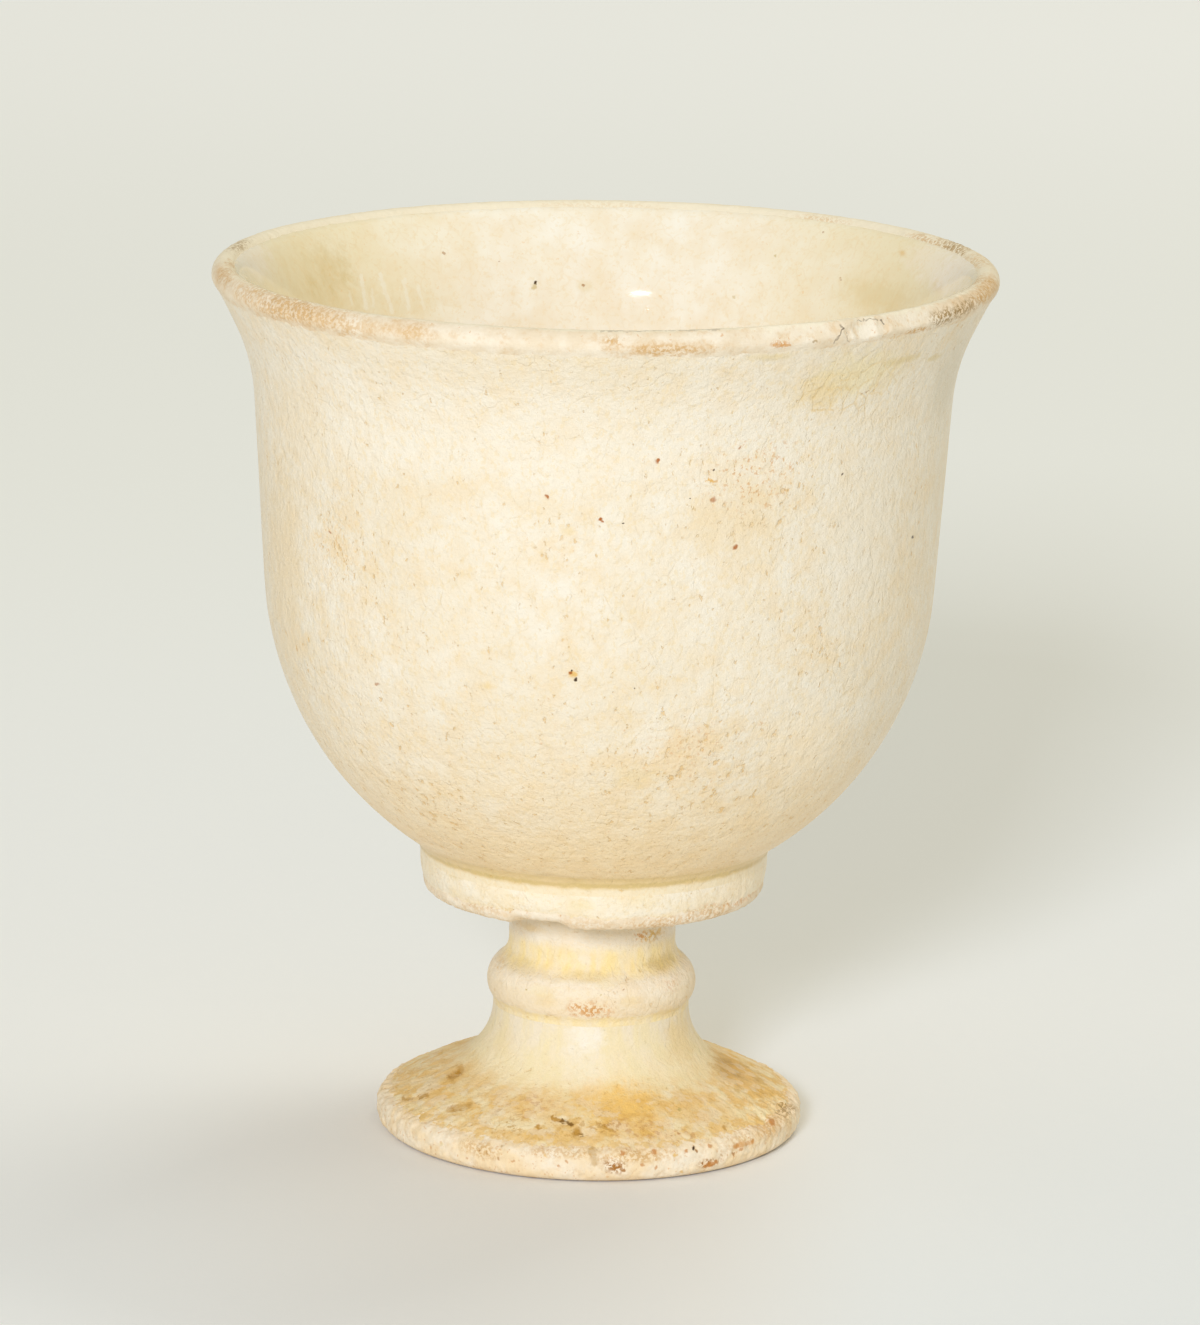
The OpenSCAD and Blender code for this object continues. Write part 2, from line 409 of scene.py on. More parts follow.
def scaled(tree, vector, factor):
    """A vector times a number."""
    made = place(tree, "ShaderNodeVectorMath", {"Vector": vector, "Scale": factor}, operation="SCALE")
    return made.outputs["Vector"]


def moved(tree, a, b, operation="ADD"):
    """The sum, or another pairing, of two vectors."""
    return place(tree, "ShaderNodeVectorMath", {0: a, 1: b}, operation=operation).outputs["Vector"]


def ramp(tree, value, low, high, to_low=0.0, to_high=1.0):
    """A smooth step of a value between two limits."""
    made = place(
        tree, "ShaderNodeMapRange",
        {"Value": value, "From Min": low, "From Max": high, "To Min": to_low, "To Max": to_high},
        interpolation_type="SMOOTHSTEP")
    return made.outputs["Result"]


def noise(tree, vector, size, detail=2.0, roughness=0.5, seed=0.0, out=0):
    """Seeded noise with features of about one size, in the vector's own units."""
    made = place(
        tree, "ShaderNodeTexNoise",
        {"Vector": vector, "W": seed, "Scale": 1.0 / size, "Detail": detail, "Roughness": roughness},
        noise_dimensions="4D")
    return made.outputs[out]


print("node helpers ready")

# %% Steps of the turned-piece tree
MERGE_GAP = 2e-6
GRAIN_SIZE = 0.42 * MM
CRUMB_SIZE = 0.95 * MM
RAGGED_SIZE = 1.5 * MM
WAVE_SIZE = 13 * MM
WAVE_SEED = 3.0
GROUND_FADE = 4 * MM


def named_weight(tree, name):
    """A weight that points carry under a name."""
    made = place(tree, "GeometryNodeInputNamedAttribute", {"Name": name}, data_type="FLOAT")
    return made.outputs["Attribute"]


def on_ring(tree, profile, ring, value, kind):
    """A value of the profile's points, read for each row of the grid."""
    row = place(
        tree, "GeometryNodeSampleIndex", {"Geometry": profile, "Value": value, "Index": ring},
        data_type=kind, domain="POINT")
    return row.outputs["Value"]


def shaped(tree, kind, shape, inputs, **settings):
    """A geometry after one more node."""
    return place(tree, kind, {"Geometry": shape, **inputs}, **settings).outputs[0]


def swept_grid(tree, given, position):
    """A grid whose rows follow the profile and whose columns follow the turn, with its weights."""
    profile, segments, rings = given["Profile"], given["Segments"], given["Rings"]
    columns = maths(tree, "ADD", segments, 1.0)
    grid = place(tree, "GeometryNodeMeshGrid", {
        "Size X": 1.0, "Size Y": 1.0, "Vertices X": columns, "Vertices Y": rings})
    index = tree.nodes.new("GeometryNodeInputIndex").outputs[0]
    column = maths(tree, "FLOOR", maths(tree, "DIVIDE", maths(tree, "ADD", index, 0.5), rings))
    ring = maths(tree, "SUBTRACT", index, times(tree, column, rings))
    drawn = on_ring(tree, profile, ring, position, "FLOAT_VECTOR")
    radius = part(tree, drawn, "X")
    angle = times(tree, maths(tree, "DIVIDE", column, segments), 2 * np.pi)
    turned = place(tree, "ShaderNodeCombineXYZ", {
        "X": times(tree, radius, maths(tree, "COSINE", angle)),
        "Y": times(tree, radius, maths(tree, "SINE", angle)),
        "Z": part(tree, drawn, "Z")}).outputs[0]
    shape = shaped(tree, "GeometryNodeSetPosition", grid.outputs["Mesh"], {"Position": turned})
    for name in ("grain", "ragged"):
        weight = on_ring(tree, profile, ring, named_weight(tree, name), "FLOAT")
        shape = shaped(
            tree, "GeometryNodeStoreNamedAttribute", shape, {"Name": name, "Value": weight},
            data_type="FLOAT", domain="POINT")
    return shaped(tree, "GeometryNodeMergeByDistance", shape, {"Distance": MERGE_GAP})


def uneven_lift(tree, given, position):
    """How far each point moves along its normal: a slow wave, grain and a ragged end."""
    seed = given["Seed"]
    fine = signed(tree, noise(tree, position, GRAIN_SIZE, 2.0, 0.6, seed))
    grains = maths(tree, "ADD", fine, signed(tree, noise(tree, position, CRUMB_SIZE, 1.0, 0.5, seed)))
    ragged = signed(tree, noise(tree, position, RAGGED_SIZE, 3.0, 0.65, seed))
    wave = signed(tree, noise(tree, position, WAVE_SIZE, 1.0, 0.4, WAVE_SEED))
    off_ground = ramp(tree, part(tree, position, "Z"), 0.0, GROUND_FADE)
    lift = times(tree, wave, given["Wave Height"], off_ground)
    for name, field, amount in (("grain", grains, "Grain Height"), ("ragged", ragged, "Ragged Height")):
        share = times(tree, field, named_weight(tree, name), given[amount])
        lift = maths(tree, "ADD", lift, share)
    return lift


print("steps of the turned-piece tree ready")

# %% The turned-piece tree
SHARP_ANGLE = 0.6
TREE_INPUTS = {
    "NodeSocketGeometry": ["Profile"], "NodeSocketInt": ["Segments", "Rings"],
    "NodeSocketFloat": [
        "Grain Height", "Ragged Height", "Wave Height", "Lean", "Lean From", "Lean To", "Seed"],
    "NodeSocketMaterial": ["Finish"],
}


def turned_piece_tree():
    """Sweeps a profile round the Z axis and makes the surface as uneven as its weights say."""
    tree = bpy.data.node_groups.new("turned_piece", "GeometryNodeTree")
    for kind, names in TREE_INPUTS.items():
        for name in names:
            tree.interface.new_socket(name, in_out="INPUT", socket_type=kind)
    tree.interface.new_socket("Geometry", in_out="OUTPUT", socket_type="NodeSocketGeometry")
    given = tree.nodes.new("NodeGroupInput").outputs
    position = tree.nodes.new("GeometryNodeInputPosition").outputs[0]
    normal = tree.nodes.new("GeometryNodeInputNormal").outputs[0]
    shape = swept_grid(tree, given, position)
    lift = scaled(tree, normal, uneven_lift(tree, given, position))
    shape = shaped(tree, "GeometryNodeSetPosition", shape, {"Offset": lift})
    high = ramp(tree, part(tree, position, "Z"), given["Lean From"], given["Lean To"])
    rise = times(tree, part(tree, position, "X"), given["Lean"], high)
    tilt = place(tree, "ShaderNodeCombineXYZ", {"Z": rise}).outputs[0]
    shape = shaped(tree, "GeometryNodeSetPosition", shape, {"Offset": tilt})
    shape = shaped(tree, "GeometryNodeSetShadeSmooth", shape, {"Shade Smooth": True}, domain="FACE")
    bend = tree.nodes.new("GeometryNodeInputMeshEdgeAngle").outputs[0]
    sharp = maths(tree, "GREATER_THAN", bend, SHARP_ANGLE)
    shape = shaped(
        tree, "GeometryNodeSetShadeSmooth", shape, {"Selection": sharp, "Shade Smooth": False}, domain="EDGE")
    shape = shaped(tree, "GeometryNodeRealizeInstances", shape, {})
    shape = shaped(tree, "GeometryNodeSetMaterial", shape, {"Material": given["Finish"]})
    place(tree, "NodeGroupOutput", {"Geometry": shape})
    return tree


TURNED_PIECE = turned_piece_tree()
SOCKET = {}
for item in TURNED_PIECE.interface.items_tree:
    if item.in_out == "INPUT":
        SOCKET[item.name] = item.identifier
print("turned-piece tree:", len(TURNED_PIECE.nodes), "nodes")

# %% Turn a profile into a plain mesh
RIM_LEAN = 0.0079
LEAN_FROM = 30 * MM
LEAN_TO = 78 * MM
WAVE_HEIGHT = 0.07 * MM


def signed_area(points):
    """Area inside a profile in the half-plane, positive when it is walked anticlockwise."""
    r, z = points[:, 0], points[:, 1]
    return 0.5 * np.sum(r * np.roll(z, -1) - np.roll(r, -1) * z)


def turn_piece(name, points, skin, segments, closed, seed, grain=None, grain_height=0.0,
               ragged=None, ragged_height=0.0):
    """Makes a turned piece from a profile in mm and returns its object, at the origin, as a plain mesh."""
    count = len(points)
    grain = np.zeros(count) if grain is None else grain
    ragged = np.zeros(count) if ragged is None else ragged
    if signed_area(points) < 0:
        points, grain, ragged = points[::-1], grain[::-1], ragged[::-1]
    if closed:
        points, grain, ragged = (np.concatenate([a, a[:1]]) for a in (points, grain, ragged))
        count += 1
    line = bpy.data.meshes.new(name + "_profile")
    line.from_pydata([(r * MM, 0, z * MM) for r, z in points], [(i, i + 1) for i in range(count - 1)], [])
    for key, values in (("grain", grain), ("ragged", ragged)):
        line.attributes.new(key, "FLOAT", "POINT").data.foreach_set("value", values.astype(np.float32))
    wheel = bpy.data.objects.new(name + "_profile", line)
    scene.collection.objects.link(wheel)
    turning = wheel.modifiers.new("turning", "NODES")
    turning.node_group = TURNED_PIECE
    settings = {
        "Segments": segments, "Rings": count, "Seed": seed, "Finish": finish[skin],
        "Grain Height": grain_height * MM, "Ragged Height": ragged_height * MM, "Wave Height": WAVE_HEIGHT,
        "Lean": RIM_LEAN, "Lean From": LEAN_FROM, "Lean To": LEAN_TO,
    }
    for key, value in settings.items():
        turning[SOCKET[key]] = value
    graph = bpy.context.evaluated_depsgraph_get()
    mesh = bpy.data.meshes.new_from_object(wheel.evaluated_get(graph))
    mesh.name = name
    wheel.modifiers.remove(turning)
    bpy.data.objects.remove(wheel)
    bpy.data.meshes.remove(line)
    piece = bpy.data.objects.new(name, mesh)
    scene.collection.objects.link(piece)
    triangles = sum(len(face.vertices) - 2 for face in mesh.polygons)
    print(name, len(mesh.vertices), "points,", triangles, "triangles")
    return piece


def dress(piece, slot, *nodes):
    """Hangs a finished piece on the cup's body and hides the solids whose place it takes.
    The slot is not used.
    """
    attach(piece, "root")
    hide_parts(*nodes)


print("turning reads", len(SOCKET), "named inputs")

# %% [markdown]
# ## Finishes, named first
# Node trees need their materials before the shader nodes are drawn, so the finishes are made empty here
# and filled in later, when the groups that they share are ready.

# %% Empty finishes
FINISH_NAMES = [
    "outside_glaze", "inside_glaze", "groove_pool", "collar_coat", "stem_coat", "foot_coat",
    "bowl_bare_clay", "collar_bare_clay", "foot_bare_clay", "joint_slip", "paper",
]
finish = {}
for name in FINISH_NAMES:
    finish[name] = bpy.data.materials.new(name)
    finish[name].use_nodes = True
    finish[name].node_tree.nodes.clear()
print(len(finish), "finishes named")

# %% [markdown]
# ## Bowl
# The bowl is thrown in one go: a round belly, a nearly straight wall and a lip that turns out and ends in
# a thick round. Its clay shows only along the lip, which is worn rough. Rings of points could be spread
# evenly, but most of the clay hides under glaze, so they are packed round the lip, where the grain is.

# %% Bowl clay
LIP_CENTRE = (34.24, 79.38)
LIP_REACH = 2.6
LIP_RING_GAP = 0.2
BOWL_RING_GAP = 4.5
BOWL_SEGMENTS = 1160


def near(points, centre, reach, fade):
    """Weights of 1 round a place on a profile, fading to 0 over a length."""
    away = np.hypot(points[:, 0] - centre[0], points[:, 1] - centre[1])
    return 1 - smooth_step(reach - fade, reach, away)


bowl_points = whole_profile("bowl", BOWL_RING_GAP, [(LIP_CENTRE, LIP_REACH - 0.3, LIP_RING_GAP)])
lip_grain = near(bowl_points, LIP_CENTRE, LIP_REACH, 0.8)
bowl_clay = turn_piece(
    "bowl_clay", bowl_points, "bowl_bare_clay", BOWL_SEGMENTS, closed=False, seed=11.0,
    grain=lip_grain, grain_height=0.045)

# %% Outer and inner glaze of the bowl
OUTER_END = (35.3, 78.5)
INNER_END = (33.2, 80.2)
LIP_COAT_GAP = 0.13
COAT_GAP = 0.62
BOWL_COAT_SEGMENTS = 600

outer_points, outer_edge = coat_profile(
    "bowl_glaze", "bowl", COAT_GAP, [(OUTER_END, 1.6, LIP_COAT_GAP)], thin_high=5.0)
bowl_glaze = turn_piece(
    "bowl_outer_glaze", outer_points, "outside_glaze", BOWL_COAT_SEGMENTS, closed=True, seed=12.0,
    ragged=outer_edge, ragged_height=0.13)
inner_points, inner_edge = coat_profile(
    "inner_glaze", "bowl", COAT_GAP, [(INNER_END, 1.4, LIP_COAT_GAP)], thin_high=1.4, to_axis=True)
inner_glaze = turn_piece(
    "bowl_inner_glaze", inner_points, "inside_glaze", BOWL_COAT_SEGMENTS, closed=False, seed=13.0,
    ragged=inner_edge, ragged_height=0.1)

# %% [markdown]
# ## Collar and groove
# The collar is a thick disc under the bowl, with a bun-like side and a lower edge that was left bare. Glaze
# ran down the belly and pooled in the groove above it. The groove's solid is a small wedge. Its visible
# face is drawn here as a wide hollow fillet that runs out on both coats, as a liquid fills a corner.

# %% Collar clay, collar glaze and pooled groove
COLLAR_LOW_EDGE = (15.2, 22.9)
COLLAR_SEGMENTS = 720
collar_points = whole_profile("collar", 1.6, [(COLLAR_LOW_EDGE, 1.3, 0.14)])
collar_clay = turn_piece(
    "collar_clay", collar_points, "collar_bare_clay", segments=860, closed=False, seed=21.0,
    grain=near(collar_points, COLLAR_LOW_EDGE, 1.9, 0.8), grain_height=0.1)
side_points, side_edge = coat_profile("collar_glaze", "collar", 0.13, thin_low=2.6)
collar_glaze = turn_piece(
    "collar_glaze_coat", side_points, "collar_coat", COLLAR_SEGMENTS, closed=True, seed=22.0,
    ragged=side_edge, ragged_height=0.13)

POOL_STEPS = 24
POOL_BOWL_END = np.array((17.1, 27.8))
POOL_BOWL_PULL = np.array((16.2, 27.2))
POOL_COLLAR_PULL = np.array((15.9, 26.7))
POOL_COLLAR_END = np.array((15.88, 25.45))
POOL_BACK = np.array([(15.3, 26.11), (13.95, 26.2), (15.3, 26.98)])
t = np.linspace(0, 1, POOL_STEPS)[:, None]
pool_face = (1 - t) ** 3 * POOL_BOWL_END + 3 * t * (1 - t) ** 2 * POOL_BOWL_PULL
pool_face = pool_face + 3 * t ** 2 * (1 - t) * POOL_COLLAR_PULL + t ** 3 * POOL_COLLAR_END
groove_pool = turn_piece(
    "groove_pool_glaze", np.vstack([pool_face, POOL_BACK]), "groove_pool", COLLAR_SEGMENTS,
    closed=True, seed=23.0)

# %% [markdown]
# ## Stem and foot
# The stem has one rounded ridge, then flares into a wide foot with a hollow underneath. Two coats cover it:
# the stem's, which pools in the hollow above the ridge, and the foot's, which ends in a ragged line on the
# foot's shoulder. They meet in the neck, where both follow the same profile, so the join does not show.

# %% Stem and foot clay with their coats
FOOT_EDGE = (18.3, 1.7)
FOOT_COAT_END = (18.9, 3.2)
foot_points = whole_profile("stem_foot", 0.95, [(FOOT_EDGE, 2.2, 0.17)])
off_ground = smooth_step(0.15, 0.7, foot_points[:, 1])
stem_foot_clay = turn_piece(
    "stem_foot_clay", foot_points, "foot_bare_clay", segments=880, closed=False, seed=31.0,
    grain=near(foot_points, FOOT_EDGE, 2.9, 1.2) * off_ground, grain_height=0.19)
stem_points = coat_profile("stem_glaze", "stem_foot", 0.17, soften=0.14)[0]
stem_glaze = turn_piece(
    "stem_glaze_coat", stem_points, "stem_coat", segments=480, closed=True, seed=32.0)
top_points, top_edge = coat_profile(
    "foot_glaze", "stem_foot", 0.34, [(FOOT_COAT_END, 2.0, 0.13)], thin_low=6.0)
foot_glaze = turn_piece(
    "foot_glaze_coat", top_points, "foot_coat", segments=800, closed=True, seed=33.0,
    grain=smooth_step(10.5, 15.0, top_points[:, 0]), grain_height=0.1,
    ragged=top_edge, ragged_height=0.22)

# %% [markdown]
# ## Finding a mark's place
# The photograph shows single specks, stains and worn patches. Each is named by its pixel. A line of sight
# through that pixel is cast onto the solids, and the point it meets is where the mark sits, so that it
# stays on the cup when the camera moves round.

# %% Cast a pixel of the photograph onto the cup
def cup_tree():
    """One search tree over all the solids."""
    corners, faces = [], []
    for node in frame["nodes"].values():
        start = len(corners)
        corners += [vertex.co.copy() for vertex in node.data.vertices]
        faces += [[start + i for i in face.vertices] for face in node.data.polygons]
    return BVHTree.FromPolygons(corners, faces)


CUP_TREE = cup_tree()


def sight_of(pixel):
    """The direction from the camera through a pixel of the photograph."""
    across = (pixel[0] - PHOTO_WIDE / 2) / FOCAL_PX
    down = (pixel[1] - PHOTO_HIGH / 2) / FOCAL_PX
    return (EYE_TURN @ Vector((across, -down, -1))).normalized()


def on_cup(pixel):
    """The point on the cup, in mm, that a pixel of the photograph shows."""
    hit = CUP_TREE.ray_cast(EYE, sight_of(pixel))[0]
    if hit is None:
        raise ValueError(f"no part of the cup at pixel {pixel}")
    return hit / MM


LARGEST_SPECK = (573, 676)
print("largest speck sits at", [round(c, 1) for c in on_cup(LARGEST_SPECK)], "mm")

# %% [markdown]
# ## Wear and damage
# Years of use knocked flat places into the lip, roughened the handled edges and left pits and a notch. A
# sculpting brush could do this by hand. Here each mark is a small rule that moves the points near one
# pixel's place: cut to a plane, pushed in, or shaken by noise, so each can be found and changed.

# %% Rules that move a piece's points
def points_of(piece):
    """A piece's points in mm."""
    flat = np.empty(len(piece.data.vertices) * 3, np.float32)
    piece.data.vertices.foreach_get("co", flat)
    return flat.reshape(-1, 3).astype(float) / MM


def put_back(piece, points):
    """Gives a piece its moved points."""
    piece.data.vertices.foreach_set("co", (points * MM).astype(np.float32).ravel())
    piece.data.update()


def normals_of(piece):
    """The unit normal at each of a piece's points."""
    flat = np.empty(len(piece.data.vertices) * 3, np.float32)
    piece.data.vertex_normals.foreach_get("vector", flat)
    return flat.reshape(-1, 3).astype(float)


def weight_near(points, pixel, reach):
    """1 at a pixel's place, falling to 0 at half sizes in mm across, in depth and in height."""
    away = np.linalg.norm((points - np.array(on_cup(pixel))) / reach, axis=1)
    return 1 - smooth_step(0.0, 1.0, away)


def dent(piece, pixel, reach, depth):
    """Pushes a smooth hollow into a piece."""
    points = points_of(piece)
    weight = weight_near(points, pixel, reach)
    put_back(piece, points - normals_of(piece) * (weight * depth)[:, None])


def roughen(piece, pixel, reach, height, size):
    """Shakes the surface near a place by noise with features of one size."""
    points = points_of(piece)
    weight = weight_near(points, pixel, reach)
    lift = np.zeros(len(points))
    for i in np.flatnonzero(weight):
        lift[i] = solid_noise.noise(points[i] / size) + 0.5 * solid_noise.noise(points[i] * 2.3 / size)
    put_back(piece, points + normals_of(piece) * (weight * lift * height)[:, None])


def out_and_up(centre, rise):
    """A unit vector that points away from the axis and up."""
    facing = np.array((centre[0], centre[1], np.hypot(centre[0], centre[1]) * rise))
    return facing / np.linalg.norm(facing)


def scoop(piece, pixel, radius, rise, depth):
    """Chips a shallow hollow, part of a sphere, out of a piece."""
    points = points_of(piece)
    chip = np.array(on_cup(pixel))
    centre = chip + out_and_up(chip, rise) * (radius - depth)
    apart = points - centre
    away = np.linalg.norm(apart, axis=1)[:, None]
    put_back(piece, np.where(away < radius, centre + apart / away * radius, points))


def cut_flat(piece, pixel, reach, rise, depth):
    """Cuts a piece to a plane that faces out and up, at a depth under a pixel's place."""
    points = points_of(piece)
    centre = np.array(on_cup(pixel))
    facing = out_and_up(centre, rise)
    over = (points - centre) @ facing + depth
    within = np.linalg.norm((points - centre) / reach, axis=1) < 1
    put_back(piece, points - facing * (np.maximum(over, 0) * within)[:, None])


def lift_edge(piece, pixel, half_wide, height, start, stop):
    """Raises a stretch of a ring, fully beyond one height and not at all before another."""
    points = points_of(piece)
    centre = np.array(on_cup(pixel))
    across = 1 - smooth_step(0.55, 1.0, np.linalg.norm((points - centre)[:, :2], axis=1) / half_wide)
    away = smooth_step(min(start, stop), max(start, stop), points[:, 2])
    share = away if stop > start else 1 - away
    points[:, 2] += height * across * share
    put_back(piece, points)


print("rules for wear ready")

# %% Wear on the lip, the collar, the stem and the foot
COAT_SINK = 0.13
SPECK_PIT = (LARGEST_SPECK, (0.7, 2, 0.8), 0.12)
LIP_FACETS = [
    ((913, 320), (6, 6, 4), 0.6, 0.3), ((790, 340), (6, 6, 4), 0.7, 0.2),
    ((265, 300), (6, 6, 4), 0.5, 0.16),
]
LIP_CHIPS = [((868, 333), 4, 0.5, 0.5), ((884, 331), 2.4, 0.6, 0.3), ((852, 335), 1.6, 0.4, 0.25)]
LIP_ROUGH = [
    ((960, 300), (5, 8, 2.6), 0.12, 0.6), ((290, 312), (9, 12, 2.6), 0.15, 0.5),
    ((955, 248), (5, 7, 2.4), 0.08, 0.7),
]
COLLAR_STEPS = [((537, 912), 3.4, 0.5, 24.8, 22.6), ((428, 868), 4.2, 0.3, 24.6, 25.8)]
COLLAR_ROUGH = [((728, 905), (6, 8, 1.8), 0.09, 0.8), ((600, 926), (9, 4, 1), 0.06, 0.9)]
RIDGE_ROUGH = [((590, 1008), (2.6, 3, 1.1), 0.09, 0.45), ((580, 992), (9.5, 14, 2), 0.1, 1.3)]
FOOT_PITS = [
    ((580, 1133), 1, 0.2), ((563, 1121), 1, 0.16), ((456, 1073), 1.1, 0.16),
    ((416, 1096), 1.2, 0.16), ((459, 1107), 1.1, 0.14),
]
FOOT_ROUGH = [
    ((778, 1108), (7, 10, 3), 0.22, 0.8), ((640, 1150), (9, 5, 1.8), 0.1, 1),
    ((470, 1140), (9, 8, 2.2), 0.11, 1.2),
]
for rule, places in ((cut_flat, LIP_FACETS), (scoop, LIP_CHIPS)):
    for pixel, reach, rise, depth in places:
        rule(bowl_clay, pixel, reach, rise, depth)
        for coat in (bowl_glaze, inner_glaze):
            rule(coat, pixel, reach, rise, depth + COAT_SINK)
dent(bowl_glaze, *SPECK_PIT)
for piece in (collar_clay, collar_glaze):
    for step in COLLAR_STEPS:
        lift_edge(piece, *step)
for pixel, reach, depth in FOOT_PITS:
    dent(foot_glaze, pixel, (reach, reach * 1.3, reach), depth)
ROUGH_PIECES = [
    ([bowl_clay], LIP_ROUGH), ([collar_clay, collar_glaze], COLLAR_ROUGH), ([stem_glaze], RIDGE_ROUGH),
    ([stem_foot_clay, foot_glaze], FOOT_ROUGH),
]
for pieces, places in ROUGH_PIECES:
    for piece in pieces:
        for worn in places:
            roughen(piece, *worn)
print("chips and facets:", len(LIP_FACETS + LIP_CHIPS), "pits:", len(FOOT_PITS) + 1)
print("rough places:", sum(len(places) for pieces, places in ROUGH_PIECES), "steps:", len(COLLAR_STEPS))

# %% Each piece takes its solid's place
dress(bowl_clay, "clay", "bowl")
dress(collar_clay, "clay", "collar")
dress(stem_foot_clay, "clay", "stem_foot")
dress(bowl_glaze, "glaze", "bowl_glaze")
dress(inner_glaze, "glaze", "inner_glaze")
dress(collar_glaze, "glaze", "collar_glaze")
dress(foot_glaze, "glaze", "foot_glaze")
dress(groove_pool, "pooled_glaze", "groove_glaze")
dress(stem_glaze, "pooled_glaze", "stem_glaze")
for node in ("bowl_joint_slip", "stem_joint_slip"):
    frame["nodes"][node].data.materials[0] = finish["joint_slip"]
    print(node, "keeps its solid, with a finish")

# %% [markdown]
# ## Shared effects
# Crackle, flecks, clouds of tone, stains, scratches and clay grain turn up in several finishes. Each is
# drawn once as a shader group with named inputs, and every finish sets its own values. Paint on an image
# would tie them to one view, while these patterns are solid: they run through the glaze in all directions.

# %% Helpers for shader groups and finishes
SEED_STEP = (13.7, 7.9, 19.3)


def srgb(red, green, blue):
    """A colour from 8-bit screen values, in the linear values that shaders use."""
    share = np.array([red, green, blue]) / 255
    linear = np.where(share <= 0.04045, share / 12.92, ((share + 0.055) / 1.055) ** 2.4)
    return (*[float(c) for c in linear], 1.0)


def new_group(name, inputs, outputs):
    """An empty shader group with float inputs, except its vectors, and float outputs."""
    group = bpy.data.node_groups.new(name, "ShaderNodeTree")
    for label, value in inputs.items():
        kind = "NodeSocketVector" if isinstance(value, tuple) else "NodeSocketFloat"
        group.interface.new_socket(label, in_out="INPUT", socket_type=kind).default_value = value
    for label in outputs:
        group.interface.new_socket(label, in_out="OUTPUT", socket_type="NodeSocketFloat")
    return group, group.nodes.new("NodeGroupInput").outputs


def use(tree, group, **inputs):
    """Places a shader group in a tree, with underscores for the spaces in its inputs' names."""
    named = {key.replace("_", " "): value for key, value in inputs.items()}
    return place(tree, "ShaderNodeGroup", named, node_tree=group).outputs


def layer(tree, under, over, mask):
    """One colour laid over another through a mask."""
    mix = place(tree, "ShaderNodeMix", {0: mask, 6: under, 7: over}, data_type="RGBA")
    return mix.outputs[2]


def speckle(tree, vector, size, detail, roughness, seed, out=0):
    """Noise for a finish, in mm. Each seed takes it from another place."""
    shifted = moved(tree, vector, scaled(tree, SEED_STEP, seed))
    made = place(
        tree, "ShaderNodeTexNoise",
        {"Vector": shifted, "Scale": 1.0 / size, "Detail": detail, "Roughness": roughness},
        noise_dimensions="3D")
    return made.outputs[out]


print("shader helpers ready")

# %% Crackle, flecks and clouds
ORIGIN = (0.0, 0.0, 0.0)
HALF_GREY = (0.5, 0.5, 0.5)
TALL_CELLS = (1.0, 1.0, 0.72)


def crackle_group():
    """Fine lines where a glaze has cracked into cells, fading in and out over the surface."""
    inputs = {"Vector": ORIGIN, "Cell": 1.6, "Width": 0.06, "Patchy": 0.8}
    group, given = new_group("crackle", inputs, ["Lines"])
    unit = scaled(group, given["Vector"], maths(group, "DIVIDE", 1.0, given["Cell"]))
    unit = moved(group, unit, TALL_CELLS, "MULTIPLY")
    drift = moved(group, speckle(group, unit, 0.9, 1.0, 0.5, 4.0, out=1), HALF_GREY, "SUBTRACT")
    bent = moved(group, unit, scaled(group, drift, 0.7))
    cells = place(group, "ShaderNodeTexVoronoi", {"Vector": bent, "Scale": 1.0}, feature="DISTANCE_TO_EDGE")
    lines = ramp(group, cells.outputs["Distance"], 0.0, given["Width"], 1.0, 0.0)
    patches = ramp(group, speckle(group, given["Vector"], 2.6, 2.0, 0.6, 6.0), 0.42, 0.62)
    gone = times(group, given["Patchy"], maths(group, "SUBTRACT", 1.0, patches))
    place(group, "NodeGroupOutput", {"Lines": times(group, lines, maths(group, "SUBTRACT", 1.0, gone))})
    return group


def fleck_group():
    """Small uneven flecks, few where the cover is near 0 and half the surface where it is 1."""
    inputs = {"Vector": ORIGIN, "Size": 0.8, "Cover": 0.2, "Seed": 1.0}
    group, given = new_group("flecks", inputs, ["Mask"])
    unit = scaled(group, given["Vector"], maths(group, "DIVIDE", 1.0, given["Size"]))
    field = speckle(group, unit, 1.0, 3.0, 0.62, given["Seed"])
    limit = maths(group, "MULTIPLY_ADD", given["Cover"], -0.26, 0.72)
    mask = ramp(group, field, limit, maths(group, "ADD", limit, 0.09))
    place(group, "NodeGroupOutput", {"Mask": mask})
    return group


def cloud_group():
    """Soft clouds of tone, from 0 to 1."""
    inputs = {"Vector": ORIGIN, "Size": 10.0, "Contrast": 0.15, "Seed": 1.0}
    group, given = new_group("clouds", inputs, ["Cloud"])
    unit = scaled(group, given["Vector"], maths(group, "DIVIDE", 1.0, given["Size"]))
    field = speckle(group, unit, 1.0, 3.0, 0.58, given["Seed"])
    low = maths(group, "SUBTRACT", 0.5, given["Contrast"])
    high = maths(group, "ADD", 0.5, given["Contrast"])
    place(group, "NodeGroupOutput", {"Cloud": ramp(group, field, low, high)})
    return group


CRACKLE, FLECKS, CLOUDS = crackle_group(), fleck_group(), cloud_group()
print("crackle, flecks and clouds drawn")

